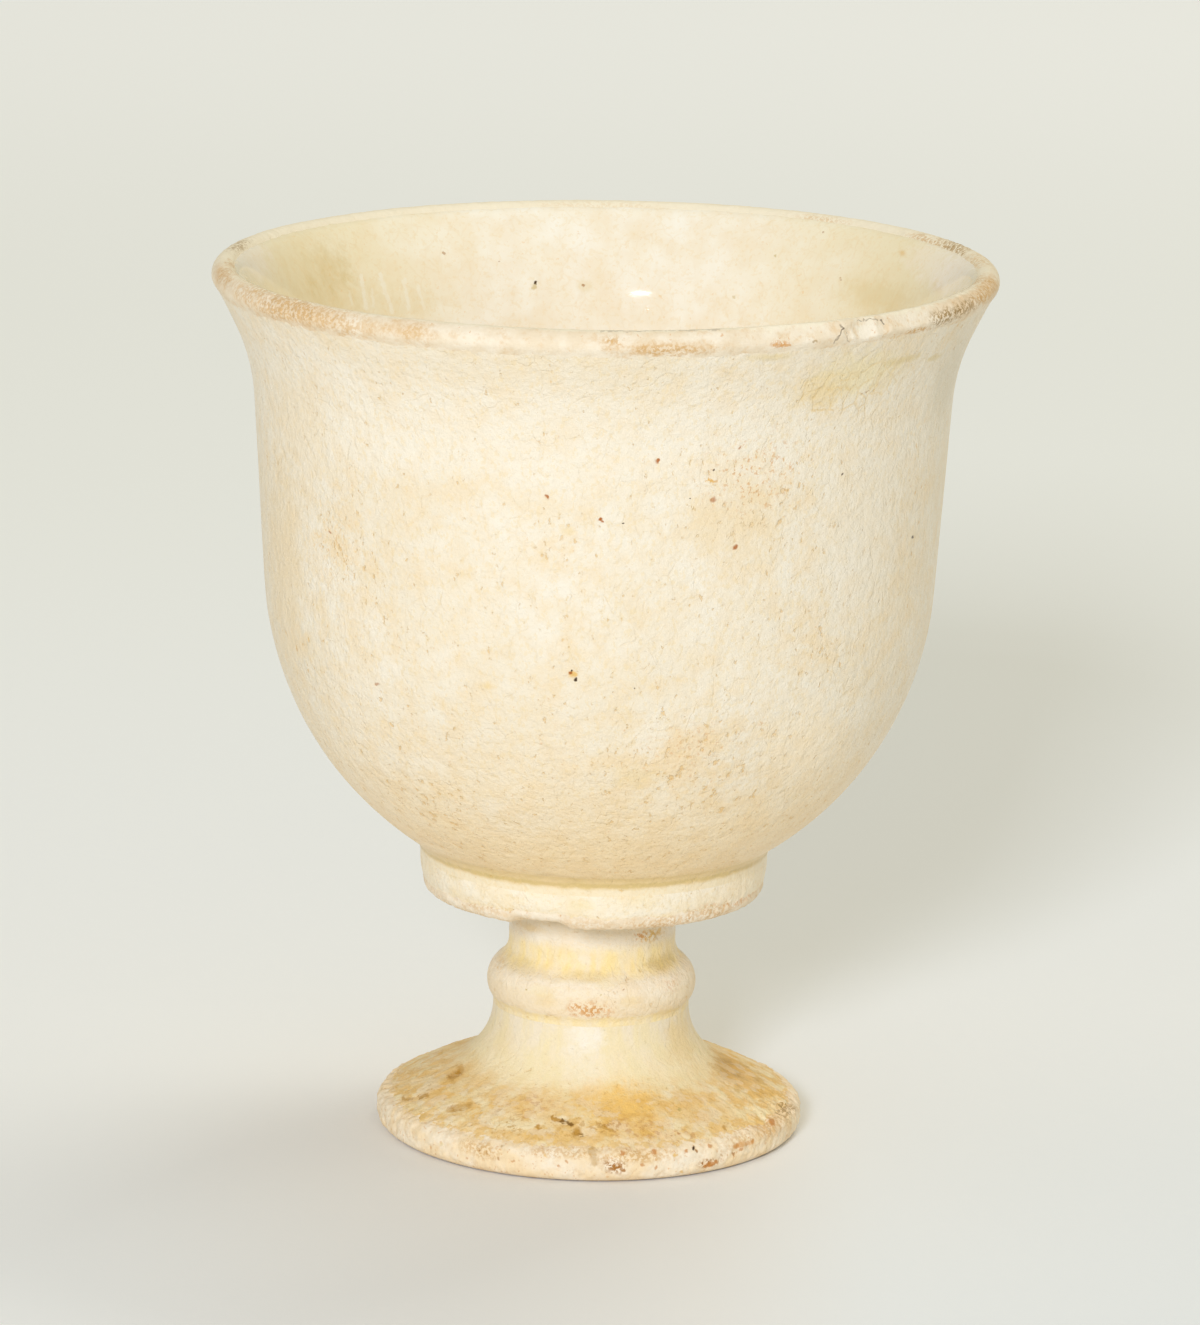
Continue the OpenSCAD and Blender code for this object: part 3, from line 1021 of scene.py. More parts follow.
# %% Stains, bands, scratches and clay grain
def patch_shape_group():
    """A round or stretched patch, whose edge wanders with a value that is given to it."""
    inputs = {
        "Vector": ORIGIN, "Centre": ORIGIN, "Reach": (1.0, 1.0, 1.0),
        "Fade": 0.5, "Wander": 0.0, "Uneven": 0.4,
    }
    group, given = new_group("patch_mask", inputs, ["Mask"])
    apart = moved(group, given["Vector"], given["Centre"], "SUBTRACT")
    shape = moved(group, apart, given["Reach"], "DIVIDE")
    away = length_of(group, shape)
    edge = maths(group, "MULTIPLY_ADD", given["Wander"], given["Uneven"], away)
    mask = ramp(group, edge, maths(group, "SUBTRACT", 1.0, given["Fade"]), 1.0, 1.0, 0.0)
    place(group, "NodeGroupOutput", {"Mask": mask})
    return group


def band_group():
    """A level band between two heights, whose edges wander with a value that is given to it."""
    inputs = {"Vector": ORIGIN, "Low": 0.0, "High": 10.0, "Fade": 1.0, "Wander": 0.0, "Uneven": 0.5}
    group, given = new_group("band", inputs, ["Mask"])
    level = maths(group, "MULTIPLY_ADD", given["Wander"], given["Uneven"], part(group, given["Vector"], "Z"))
    low_edge = ramp(group, level, given["Low"], maths(group, "ADD", given["Low"], given["Fade"]))
    high_start = maths(group, "SUBTRACT", given["High"], given["Fade"])
    high_edge = ramp(group, level, high_start, given["High"], 1.0, 0.0)
    place(group, "NodeGroupOutput", {"Mask": times(group, low_edge, high_edge)})
    return group


def scratch_group():
    """A thin straight line from one point to another, drawn through to the surface along one direction."""
    inputs = {
        "Vector": ORIGIN, "Start": ORIGIN, "End": (1.0, 0.0, 0.0), "Facing": (0.0, 1.0, 0.0), "Width": 0.2,
    }
    group, given = new_group("scratch", inputs, ["Mask"])
    whole = moved(group, given["End"], given["Start"], "SUBTRACT")
    apart = moved(group, given["Vector"], given["Start"], "SUBTRACT")
    ahead = maths(group, "DIVIDE", dot(group, apart, whole), dot(group, whole, whole))
    share = place(group, "ShaderNodeClamp", {"Value": ahead}).outputs[0]
    aside = moved(group, apart, scaled(group, whole, share), "SUBTRACT")
    deep = dot(group, aside, given["Facing"])
    aside = moved(group, aside, scaled(group, given["Facing"], deep), "SUBTRACT")
    mask = ramp(group, length_of(group, aside), times(group, given["Width"], 0.4), given["Width"], 1.0, 0.0)
    mask = times(group, mask, ramp(group, maths(group, "ABSOLUTE", deep), 2.4, 3.0, 1.0, 0.0))
    place(group, "NodeGroupOutput", {"Mask": mask})
    return group


def grain_group():
    """The grain of bare fired clay: its height and its darker hollows."""
    group, given = new_group("clay_grain", {"Vector": ORIGIN, "Grain": 0.4}, ["Height", "Hollows"])
    unit = scaled(group, given["Vector"], maths(group, "DIVIDE", 1.0, given["Grain"]))
    fine = speckle(group, unit, 1.0, 3.0, 0.7, 7.0)
    lumps = speckle(group, unit, 3.2, 2.0, 0.55, 8.0)
    height = maths(group, "MULTIPLY_ADD", lumps, 0.6, times(group, fine, 0.4))
    place(group, "NodeGroupOutput", {"Height": height, "Hollows": ramp(group, height, 0.5, 0.36)})
    return group


PATCH_SHAPE, BAND, SCRATCH, GRAIN = patch_shape_group(), band_group(), scratch_group(), grain_group()
print("stains, bands, scratches and clay grain drawn")

# %% A finish while it is drawn
STREAK_STRETCH = (1.0, 1.0, 0.22)
SHEEN = 0.36
FAR_WALL = 6.0


class Surface:
    """A finish: its tree, its colour so far, its place in mm, and noise that its marks share."""

    def __init__(self, name, base):
        tree = finish[name].node_tree
        self.tree = tree
        self.colour = base
        self.at = scaled(tree, place(tree, "ShaderNodeTexCoord").outputs["Object"], 1 / MM)
        shake = moved(tree, speckle(tree, self.at, 0.45, 1.0, 0.5, 8.0, out=1), HALF_GREY, "SUBTRACT")
        self.bent = moved(tree, self.at, scaled(tree, shake, 0.5))
        self.fine = signed(tree, speckle(tree, self.at, 1.1, 4.0, 0.7, 2.0))
        self.slow = signed(tree, speckle(tree, self.at, 6.5, 3.0, 0.55, 5.0))

    def cloud(self, size, contrast, seed):
        """Clouds of tone."""
        return use(self.tree, CLOUDS, Vector=self.at, Size=size, Contrast=contrast, Seed=seed)["Cloud"]

    def streaks(self, size, contrast, seed):
        """Clouds drawn out from top to bottom, as glaze runs."""
        runny = moved(self.tree, self.at, STREAK_STRETCH, "MULTIPLY")
        return use(self.tree, CLOUDS, Vector=runny, Size=size, Contrast=contrast, Seed=seed)["Cloud"]

    def flecks(self, size, cover, seed, stretch=1.0):
        """Small uneven flecks, round or drawn out from top to bottom."""
        drawn = moved(self.tree, self.at, (1.0, 1.0, 1.0 / stretch), "MULTIPLY")
        return use(self.tree, FLECKS, Vector=drawn, Size=size, Cover=cover, Seed=seed)["Mask"]

    def cracks(self, cell, width, patchy):
        """Crackle lines."""
        return use(self.tree, CRACKLE, Vector=self.at, Cell=cell, Width=width, Patchy=patchy)["Lines"]

    def band(self, low, high, fade, uneven=0.5, slow=False):
        """A level band between two heights in mm."""
        wander = self.slow if slow else self.fine
        made = use(self.tree, BAND, Vector=self.at, Low=low, High=high, Fade=fade,
                   Wander=wander, Uneven=uneven)
        return made["Mask"]

    def patch_mask(self, pixel, reach, fade=0.8, uneven=0.7, slow=False):
        """A patch centred on a pixel, for stains and for painted light and shade,
        with its half sizes in mm across, in depth and in height.
        """
        wander = self.slow if slow else self.fine
        made = use(self.tree, PATCH_SHAPE, Vector=self.at, Centre=tuple(on_cup(pixel)), Reach=reach,
                   Fade=fade, Wander=wander, Uneven=uneven)
        return made["Mask"]

    def lay(self, tone, mask, strength=1.0):
        """Lays a tone over the colour so far, through a mask."""
        self.colour = layer(self.tree, self.colour, tone, times(self.tree, mask, strength))

    def lay_patches(self, stains, through=None):
        """Patches as (pixel, half sizes, strength, tone), for stains and for painted light and shade,
        whole or broken up by a second mask.
        """
        for pixel, reach, strength, tone in stains:
            mask = self.patch_mask(pixel, reach)
            if through is not None:
                mask = times(self.tree, mask, through)
            self.lay(tone, mask, strength)

    def lay_specks(self, specks):
        """Small crisp specks as (pixel, radius, strength, tone), with their edges shaken."""
        for pixel, radius, strength, tone in specks:
            made = use(self.tree, PATCH_SHAPE, Vector=self.bent, Centre=tuple(on_cup(pixel)),
                       Reach=(radius, radius * 2, radius), Fade=0.6, Uneven=0.0)
            self.lay(tone, made["Mask"], strength)

    def lay_lines(self, lines):
        """Thin lines as (first pixel, last pixel, half width, strength, tone), with their edges shaken."""
        for first, last, width, strength, tone in lines:
            start, end, facing = on_cup(first), on_cup(last), sight_of(first)
            if (end - start).dot(facing) > FAR_WALL:
                end = EYE / MM + sight_of(last) * (start - EYE / MM).length
            made = use(self.tree, SCRATCH, Vector=self.bent, Start=tuple(start), End=tuple(end),
                       Facing=tuple(facing), Width=width)
            self.lay(tone, made["Mask"], strength)

    def end(self, roughness, height, bump_mm, coat=0.0, coat_roughness=0.1):
        """Feeds the colour, a roughness and a height to the shader."""
        bump = place(self.tree, "ShaderNodeBump", {
            "Strength": 1.0, "Distance": bump_mm * MM, "Height": height})
        shader = place(self.tree, "ShaderNodeBsdfPrincipled", {
            "Base Color": self.colour, "Roughness": roughness, "Normal": bump.outputs[0],
            "Specular IOR Level": SHEEN, "Coat Weight": coat, "Coat Roughness": coat_roughness})
        place(self.tree, "ShaderNodeOutputMaterial", {"Surface": shader.outputs[0]})


print("finishes can be drawn")

# %% Tones, and the skin that all the glazes share
IVORY = srgb(240, 226, 201)
PALE_IVORY = srgb(245, 234, 214)
WARM_IVORY = srgb(239, 215, 174)
YELLOW_IVORY = srgb(242, 224, 178)
# Partly the underside's warmer glaze, partly painted bounce light from the sheet below.
UNDER_TONE_AND_BOUNCE_LIGHT = srgb(254, 226, 178)
LIGHT_TAN = srgb(238, 209, 152)
SOFT_TAN = srgb(242, 208, 154)
TAN = srgb(228, 190, 118)
FRECKLE = srgb(234, 186, 106)
OCHRE = srgb(232, 186, 104)
RUST = srgb(176, 100, 36)
ORANGE = srgb(216, 156, 88)
BROWN = srgb(172, 116, 52)
GOLD_BROWN = srgb(188, 138, 52)
UMBER = srgb(126, 88, 30)
DARK_IRON = srgb(70, 46, 22)
OLIVE = srgb(226, 200, 138)
DEEP_OLIVE = srgb(204, 176, 104)
OLIVE_BROWN = srgb(190, 150, 88)
SKIN_BUMP = 0.19


def glaze_skin(surface, zone, line=0.1, gloss_low=0.38, fleck=1.0, stretch=1.0):
    """Lays flecks and faint crackle, and returns the roughness and the height that they give."""
    tree = surface.tree
    zone = maths(tree, "MINIMUM", zone, 1.0)
    dust = surface.flecks(0.42, 0.7, 6.0, stretch)
    tan = surface.flecks(0.6, maths(tree, "MULTIPLY_ADD", zone, 0.46, 0.16), 3.0, stretch)
    rusty = surface.flecks(0.5, times(tree, zone, 0.45), 7.0)
    soft = times(tree, zone, surface.flecks(2.4, 0.95, 4.0))
    lines = surface.cracks(1.7, 0.07, 0.85)
    surface.lay(SOFT_TAN, soft, 0.42)
    surface.lay(LIGHT_TAN, dust, 0.3 * fleck)
    surface.lay(FRECKLE, tan, 0.52 * fleck)
    surface.lay(ORANGE, rusty, 0.4 * fleck)
    surface.lay(TAN, lines, line)
    dips = most(tree, times(tree, lines, line), times(tree, tan, 0.2))
    height = maths(tree, "SUBTRACT", maths(tree, "MULTIPLY_ADD", surface.fine, 0.5, 0.5), dips)
    gloss = maths(tree, "MULTIPLY_ADD", tan, 0.2, gloss_low)
    return gloss, height


print("tones and glaze skin ready")

# %% [markdown]
# ## Outside glaze
# A warm ivory glaze over a pale slip. Under the lens it is clouded, freckled with tan where iron bled
# through, faintly crackled, and dotted with a few dark specks. The belly's underside is warmer, because
# the glaze ran thicker there, and it is also painted brighter, as light bounced up from the sheet. Each of
# these is one layer, from the broadest tone to the smallest speck.

# %% Marks on the outside
# Painted light: a brighter cream for the lower right of the belly, as light bounced from the sheet.
BELLY_PAINTED_LIGHT = srgb(254, 232, 196)
# Painted shade: a greyer tone for the right edge of the flare below the lip.
FLARE_PAINTED_SHADE = srgb(226, 212, 184)
FRECKLED_PLACES = [
    ((345, 545), (6, 9, 10), 0.45), ((560, 540), (4.5, 9, 4.5), 0.4),
    ((770, 510), (9, 10, 8), 0.55), ((700, 770), (12, 12, 9), 0.5),
    ((440, 805), (10, 9, 5), 0.3), ((820, 640), (7, 9, 7), 0.4),
    ((300, 650), (5, 9, 9), 0.3),
]
# Stains, with painted light on the lower right of the belly and painted shade on the flare's right edge.
OUTSIDE_STAINS_AND_PAINTED_LIGHT_SHADE = [
    ((487, 686), (0.9, 2, 0.5), 0.6, LIGHT_TAN), ((568, 531), (1, 2, 0.8), 0.5, LIGHT_TAN),
    ((860, 375), (7.5, 8, 3), 0.7, YELLOW_IVORY), ((820, 392), (4.4, 4, 2.4), 0.65, LIGHT_TAN),
    ((935, 358), (1.4, 3, 0.5), 0.6, OLIVE), ((905, 360), (4, 4, 0.55), 0.6, OLIVE),
    ((770, 358), (3, 4, 0.5), 0.5, OLIVE), ((636, 777), (2.6, 4, 1.6), 0.5, LIGHT_TAN),
    ((690, 745), (4, 5, 2.6), 0.35, SOFT_TAN), ((735, 520), (6, 8, 7), 0.6, WARM_IVORY),
    ((285, 560), (3, 8, 14), 0.6, WARM_IVORY), ((860, 545), (7, 10, 12), 0.45, PALE_IVORY),
    ((805, 745), (6, 9, 6), 0.4, BELLY_PAINTED_LIGHT), ((950, 375), (3.4, 9, 7), 0.6, FLARE_PAINTED_SHADE),
    ((300, 420), (6, 9, 7), 0.4, WARM_IVORY),
]
RUSTY_STAINS = [
    ((791, 483), (1.4, 2, 1.4), 0.5, TAN), ((710, 482), (1, 2, 0.8), 0.9, OCHRE),
    ((713, 500), (0.7, 1.5, 0.6), 1, OCHRE), ((752, 475), (7, 7, 5), 0.6, ORANGE),
    ((690, 745), (6, 7, 4), 0.4, ORANGE), ((335, 540), (5, 8, 6), 0.4, FRECKLE),
]
OUTSIDE_LINES = [
    ((806, 383), (801, 399), 0.1, 0.4, TAN), ((801, 399), (806, 408), 0.09, 0.35, TAN),
    ((817, 391), (812, 402), 0.09, 0.35, TAN), ((829, 389), (831, 409), 0.1, 0.4, TAN),
    ((841, 389), (842, 404), 0.1, 0.4, TAN), ((806, 392), (820, 389), 0.09, 0.35, TAN),
    ((826, 390), (842, 388), 0.09, 0.4, TAN), ((812, 410), (833, 410), 0.11, 0.45, TAN),
    ((838, 411), (852, 405), 0.09, 0.3, TAN), ((843, 381), (858, 378), 0.09, 0.4, TAN),
    ((868, 377), (870, 388), 0.09, 0.35, TAN), ((862, 394), (869, 391), 0.11, 0.45, BROWN),
    ((841, 388), (842, 380), 0.09, 0.4, TAN), ((815, 367), (807, 382), 0.09, 0.3, TAN),
    ((827, 346), (826, 385), 0.14, 0.5, YELLOW_IVORY),
]
OUTSIDE_SPECKS = [
    ((547, 497), 0.26, 0.9, RUST), ((601, 520), 0.25, 1, RUST), ((624, 523), 0.14, 1, DARK_IRON),
    ((658, 461), 0.24, 0.95, RUST), ((735, 547), 0.34, 0.9, RUST), ((713, 500), 0.3, 0.7, RUST),
    ((573, 674), 0.5, 0.9, OCHRE), ((571, 673), 0.26, 1, RUST), ((575, 680), 0.24, 1, DARK_IRON),
    ((572, 670), 0.15, 1, DARK_IRON), ((377, 684), 0.26, 0.6, RUST),
    ((843, 474), 0.15, 0.9, DARK_IRON), ((913, 537), 0.18, 0.9, DARK_IRON),
    ((330, 532), 0.2, 0.7, RUST), ((740, 448), 0.2, 0.7, RUST), ((714, 470), 0.13, 0.9, DARK_IRON),
    ((690, 499), 0.12, 0.9, DARK_IRON), ((634, 689), 0.12, 0.8, DARK_IRON),
]
CRACKED_PLACE = ((870, 385), (8, 9, 4.5))
print("marks on the outside:", len(OUTSIDE_STAINS_AND_PAINTED_LIGHT_SHADE + RUSTY_STAINS + OUTSIDE_LINES + OUTSIDE_SPECKS))

# %% Outside glaze
outside = Surface("outside_glaze", IVORY)
tree = outside.tree
mottle = outside.cloud(2.6, 0.2, 2.0)
outside.lay(PALE_IVORY, outside.cloud(14.0, 0.16, 1.0), 0.8)
outside.lay(WARM_IVORY, mottle, 0.45)
outside.lay(PALE_IVORY, outside.band(64.0, 77.0, 4.0, uneven=2.0, slow=True), 0.5)
# The belly's underside: a warmer glaze tone, laid brighter as painted bounce light from the sheet.
underside = outside.band(10.0, 46.0, 22.0, uneven=5.0, slow=True)
outside.lay(UNDER_TONE_AND_BOUNCE_LIGHT, underside, 0.85)
outside.lay(OLIVE, outside.band(20.0, 28.4, 1.6, uneven=0.4, slow=True), 0.6)
cover = maths(tree, "MULTIPLY_ADD", underside, 0.4, maths(tree, "MULTIPLY_ADD", mottle, 0.3, 0.12))
for pixel, reach, extra in FRECKLED_PLACES:
    spread = outside.patch_mask(pixel, reach, fade=0.9, uneven=0.5, slow=True)
    cover = maths(tree, "MULTIPLY_ADD", spread, extra, cover)
gloss, height = glaze_skin(outside, cover, stretch=1.5)
outside.lay_patches(OUTSIDE_STAINS_AND_PAINTED_LIGHT_SHADE)
cracked = times(tree, outside.patch_mask(*CRACKED_PLACE), outside.cracks(1.7, 0.08, 0.3))
outside.lay(TAN, cracked, 0.4)
outside.lay_patches(RUSTY_STAINS, outside.flecks(0.42, 0.62, 5.0))
outside.lay_lines(OUTSIDE_LINES)
outside.lay_specks(OUTSIDE_SPECKS)
outside.end(gloss, height, SKIN_BUMP * 1.35)
print("outside glaze:", len(tree.nodes), "nodes")

# %% [markdown]
# ## Inside glaze
# The inside was poured, so it is smoother and glossier, with one small sharp highlight on the back wall.
# It is a little yellower, olive where the glaze is thick, and pale streaks run down it. It takes the same
# skin as the outside, with other tones and a lower roughness.

# %% Marks on the inside
# Painted light: a pale cream that lightens the shaded inside wall just under the rim, right and left.
RIM_PAINTED_LIGHT = srgb(255, 244, 228)
PALE_STREAK = srgb(252, 247, 234)
INSIDE_STAINS = [
    ((940, 287), (1.3, 3, 0.8), 0.5, TAN), ((903, 253), (0.5, 1.5, 0.4), 0.6, OCHRE),
    ((585, 286), (1.2, 3, 0.8), 0.3, OLIVE), ((880, 296), (7, 9, 2.2), 0.4, OLIVE),
]
THICK_PLACES = [
    ((310, 282), (7, 10, 5.5), 0.4, OLIVE), ((345, 298), (6, 9, 3.6), 0.35, OLIVE),
    ((300, 300), (5, 8, 3), 0.35, DEEP_OLIVE), ((330, 270), (4, 8, 3), 0.25, DEEP_OLIVE),
    ((400, 305), (8, 9, 2), 0.25, OLIVE),
]
PAINTED_LIGHT_PLACES = [
    ((958, 275), (5, 9, 3.6), 0.85, RIM_PAINTED_LIGHT), ((935, 262), (5, 9, 2.6), 0.5, RIM_PAINTED_LIGHT),
    ((250, 258), (4.5, 9, 3.4), 0.6, RIM_PAINTED_LIGHT),
]
INSIDE_SPECKS = [
    ((535, 283), 0.22, 1, DARK_IRON), ((534, 287), 0.36, 0.6, DEEP_OLIVE),
    ((583, 285), 0.18, 0.8, BROWN), ((444, 253), 0.2, 0.6, BROWN), ((776, 255), 0.22, 0.6, DEEP_OLIVE),
    ((734, 297), 0.2, 0.5, DEEP_OLIVE), ((823, 233), 0.18, 0.6, BROWN), ((841, 279), 0.18, 0.5, BROWN),
    ((500, 262), 0.14, 0.5, BROWN),
]
INSIDE_LINES = [
    ((361, 276), (366, 308), 0.26, 0.35, PALE_STREAK),
    ((380, 274), (392, 311), 0.26, 0.35, PALE_STREAK), ((404, 280), (409, 308), 0.22, 0.3, PALE_STREAK),
    ((418, 286), (424, 309), 0.2, 0.28, PALE_STREAK), ((350, 292), (352, 304), 0.2, 0.28, PALE_STREAK),
    ((372, 290), (374, 306), 0.18, 0.25, PALE_STREAK),
]
print("marks on the inside:", len(INSIDE_STAINS + THICK_PLACES + PAINTED_LIGHT_PLACES + INSIDE_SPECKS + INSIDE_LINES))

# %% Inside glaze
INSIDE_CREAM = srgb(250, 240, 219)
INSIDE_PALE = srgb(252, 246, 232)
SIDE_TONE = srgb(242, 226, 182)
inside = Surface("inside_glaze", INSIDE_CREAM)
tree = inside.tree
mottle = inside.cloud(3.4, 0.2, 12.0)
inside.lay(INSIDE_PALE, inside.streaks(2.6, 0.2, 11.0), 0.7)
inside.lay(WARM_IVORY, mottle, 0.36)
across = maths(tree, "ABSOLUTE", part(tree, inside.at, "X"))
across = maths(tree, "MULTIPLY_ADD", inside.slow, 4.0, across)
inside.lay(SIDE_TONE, ramp(tree, across, 8.0, 30.0), 0.75)
inside.lay_patches(INSIDE_STAINS)
broken = maths(tree, "MULTIPLY_ADD", inside.streaks(1.6, 0.2, 14.0), 0.55, 0.45)
inside.lay_patches(THICK_PLACES, broken)
# Painted light on the inside wall next to the rim.
inside.lay_patches(PAINTED_LIGHT_PLACES)
cover = maths(tree, "MULTIPLY_ADD", mottle, 0.2, 0.05)
gloss, height = glaze_skin(inside, cover, line=0.12, gloss_low=0.1, fleck=0.75)
inside.lay_specks(INSIDE_SPECKS)
inside.lay_lines(INSIDE_LINES)
inside.end(gloss, height, 0.008, coat=0.2, coat_roughness=0.04)
print("inside glaze:", len(tree.nodes), "nodes")

# %% [markdown]
# ## Collar, groove, stem and foot
# Below the bowl the glaze is handled and stained. It is olive in the groove and above the ridge, where it
# pooled, pale on the collar's side and the ridge, and ochre on the foot's shoulder, where dirt settled.
# Heights on the cup place the pools, and pixels of the photograph place the single stains.

# %% Groove and collar
GROOVE_TONE = srgb(236, 208, 156)
GROOVE_PALE = srgb(248, 232, 200)
groove = Surface("groove_pool", GROOVE_TONE)
groove.lay(OLIVE, groove.cloud(3.0, 0.2, 21.0), 0.5)
groove.lay(DEEP_OLIVE, groove.band(26.4, 27.1, 0.3, uneven=0.25), 0.5)
groove.lay(GROOVE_PALE, groove.band(20.0, 26.6, 0.4, uneven=0.3), 0.85)
gloss, height = glaze_skin(groove, 0.2, gloss_low=0.3)
groove.end(gloss, height, SKIN_BUMP)

COLLAR_CREAM = srgb(247, 228, 192)
COLLAR_PALE = srgb(250, 238, 215)
# Painted light: a whiter tone that lightens the shaded right side of the collar.
COLLAR_PAINTED_LIGHT = srgb(254, 240, 214)
# Stains, with painted light on the collar's right side.
COLLAR_STAINS_AND_PAINTED_LIGHT = [
    ((455, 872), (1.8, 3, 0.8), 0.6, OLIVE), ((582, 905), (1.4, 3, 0.9), 0.5, YELLOW_IVORY),
    ((735, 900), (6, 6, 2.6), 0.7, COLLAR_PAINTED_LIGHT), ((470, 905), (2, 3, 1.2), 0.4, WARM_IVORY),
    ((640, 900), (2, 3, 1.2), 0.3, YELLOW_IVORY),
]
COLLAR_DIRT = [
    ((712, 911), (4.6, 5, 1), 0.4, ORANGE), ((650, 921), (4, 4, 0.6), 0.5, TAN),
    ((510, 911), (3.4, 4, 0.7), 0.4, TAN),
]
RIGHT_WEAR = ((740, 900), (6, 6, 3))
collar_side = Surface("collar_coat", COLLAR_CREAM)
tree = collar_side.tree
collar_side.lay(COLLAR_PALE, collar_side.cloud(4.0, 0.16, 23.0), 0.9)
# The collar's lower part: a warmer tone, laid brighter as painted bounce light from the sheet.
collar_side.lay(UNDER_TONE_AND_BOUNCE_LIGHT, collar_side.band(10.0, 24.0, 0.7, uneven=0.4), 0.5)
collar_side.lay_patches(COLLAR_STAINS_AND_PAINTED_LIGHT)
right_wear = collar_side.patch_mask(*RIGHT_WEAR)
mottle = times(tree, collar_side.cloud(3.0, 0.2, 24.0), 0.35)
cover = maths(tree, "MULTIPLY_ADD", right_wear, 0.3, mottle)
gloss, height = glaze_skin(collar_side, cover)
collar_side.lay_patches(COLLAR_DIRT, collar_side.flecks(0.3, 1.0, 25.0))
collar_side.end(gloss, height, SKIN_BUMP * 1.3)
print("groove and collar glazed")

# %% Stem
POOL_TONE = srgb(250, 225, 160)
RIDGE_PALE = srgb(250, 236, 212)
STEM_STAINS = [
    ((520, 963), (3.4, 4, 1.1), 0.3, DEEP_OLIVE), ((662, 962), (2.8, 4, 1.1), 0.7, DEEP_OLIVE),
    ((590, 976), (3, 3, 0.7), 0.5, OLIVE), ((530, 928), (2.2, 3, 0.6), 0.5, LIGHT_TAN),
    ((540, 992), (1.8, 3, 0.8), 0.4, YELLOW_IVORY), ((500, 1010), (1.6, 3, 0.9), 0.5, LIGHT_TAN),
    ((668, 1012), (1.6, 3, 0.9), 0.5, LIGHT_TAN), ((586, 960), (1, 3, 0.8), 0.5, PALE_IVORY),
    ((662, 990), (2.8, 3, 1.4), 0.7, RIDGE_PALE), ((545, 1001), (1.6, 3, 0.9), 0.4, LIGHT_TAN),
    ((632, 1000), (1.4, 3, 0.8), 0.4, LIGHT_TAN), ((606, 984), (1.6, 3, 0.6), 0.35, YELLOW_IVORY),
]
STEM_WEAR = [
    ((652, 935), (2, 3, 0.8), 1, TAN), ((640, 936), (0.9, 2, 0.6), 0.8, ORANGE),
    ((590, 1010), (2.8, 3, 1.2), 0.9, ORANGE), ((672, 985), (1.2, 3, 1), 0.3, ORANGE),
    ((500, 965), (0.8, 2, 1.2), 0.5, TAN),
]
STEM_SPECKS = [
    ((526, 990), 0.16, 0.9, DEEP_OLIVE), ((600, 995), 0.13, 0.6, DEEP_OLIVE),
    ((624, 990), 0.1, 0.6, BROWN),
]
RIDGE_PINK = srgb(245, 224, 189)
stem = Surface("stem_coat", IVORY)
tree = stem.tree
stem.lay(PALE_IVORY, stem.cloud(4.0, 0.18, 31.0), 0.7)
ridge = stem.band(12.3, 15.6, 0.6, uneven=0.5)
stem.lay(RIDGE_PINK, ridge, 0.8)
stem.lay(RIDGE_PALE, stem.band(14.2, 15.7, 0.4, uneven=0.4), 0.5)
pool = stem.band(15.2, 19.2, 1.5, uneven=0.5)
# Glaze pooled under the ridge, laid stronger as painted shade along the ridge's lower edge.
neck_pool_and_shade = times(tree, stem.band(11.0, 12.7, 0.4, uneven=0.6), 0.85)
runs = maths(tree, "MULTIPLY_ADD", stem.streaks(0.9, 0.2, 33.0), 0.6, 0.38)
stem.lay(POOL_TONE, times(tree, most(tree, pool, neck_pool_and_shade), runs), 1.0)
stem.lay(LIGHT_TAN, stem.band(21.0, 30.0, 0.9, uneven=0.4), 0.6)
stem.lay_patches(STEM_STAINS)
cover = times(tree, stem.cloud(3.0, 0.2, 32.0), 0.4)
gloss, height = glaze_skin(stem, cover, gloss_low=0.36, fleck=0.6)
stem.lay_patches(STEM_WEAR, stem.flecks(0.35, 1.0, 34.0))
stem.lay_specks(STEM_SPECKS)
gloss = maths(tree, "MULTIPLY_ADD", ridge, 0.2, gloss)
stem.end(gloss, height, SKIN_BUMP * 1.3)
print("stem glazed:", len(tree.nodes), "nodes")

# %% Marks on the foot
FOOT_GOLD = srgb(247, 200, 108)
# Painted highlight: a near-white spot on the front of the neck.
NECK_PAINTED_HIGHLIGHT = srgb(250, 243, 230)
# Stains, with a painted highlight on the neck.
FOOT_STAINS_AND_HIGHLIGHT = [
    ((622, 1106), (6, 5, 3.4), 0.9, FOOT_GOLD), ((535, 1105), (6, 4, 2), 0.4, OCHRE),
    ((700, 1112), (6, 4, 2), 0.5, OCHRE), ((640, 1130), (5, 2.5, 2), 0.6, OCHRE),
    ((745, 1078), (5, 5, 3), 0.9, TAN), ((730, 1062), (3, 5, 3), 0.8, TAN),
    ((450, 1075), (5, 5, 3), 0.5, TAN), ((430, 1105), (4, 4, 2), 0.5, LIGHT_TAN),
    ((585, 1070), (3.5, 4, 3), 0.4, PALE_IVORY), ((500, 1140), (4, 2.5, 1.5), 0.5, OCHRE),
    ((586, 1036), (2.4, 3, 2), 0.6, NECK_PAINTED_HIGHLIGHT), ((680, 1040), (2.4, 5, 3.5), 0.6, LIGHT_TAN),
    ((505, 1040), (1.6, 5, 2.5), 0.2, LIGHT_TAN), ((735, 1070), (4, 6, 2.5), 0.8, OLIVE_BROWN),
]
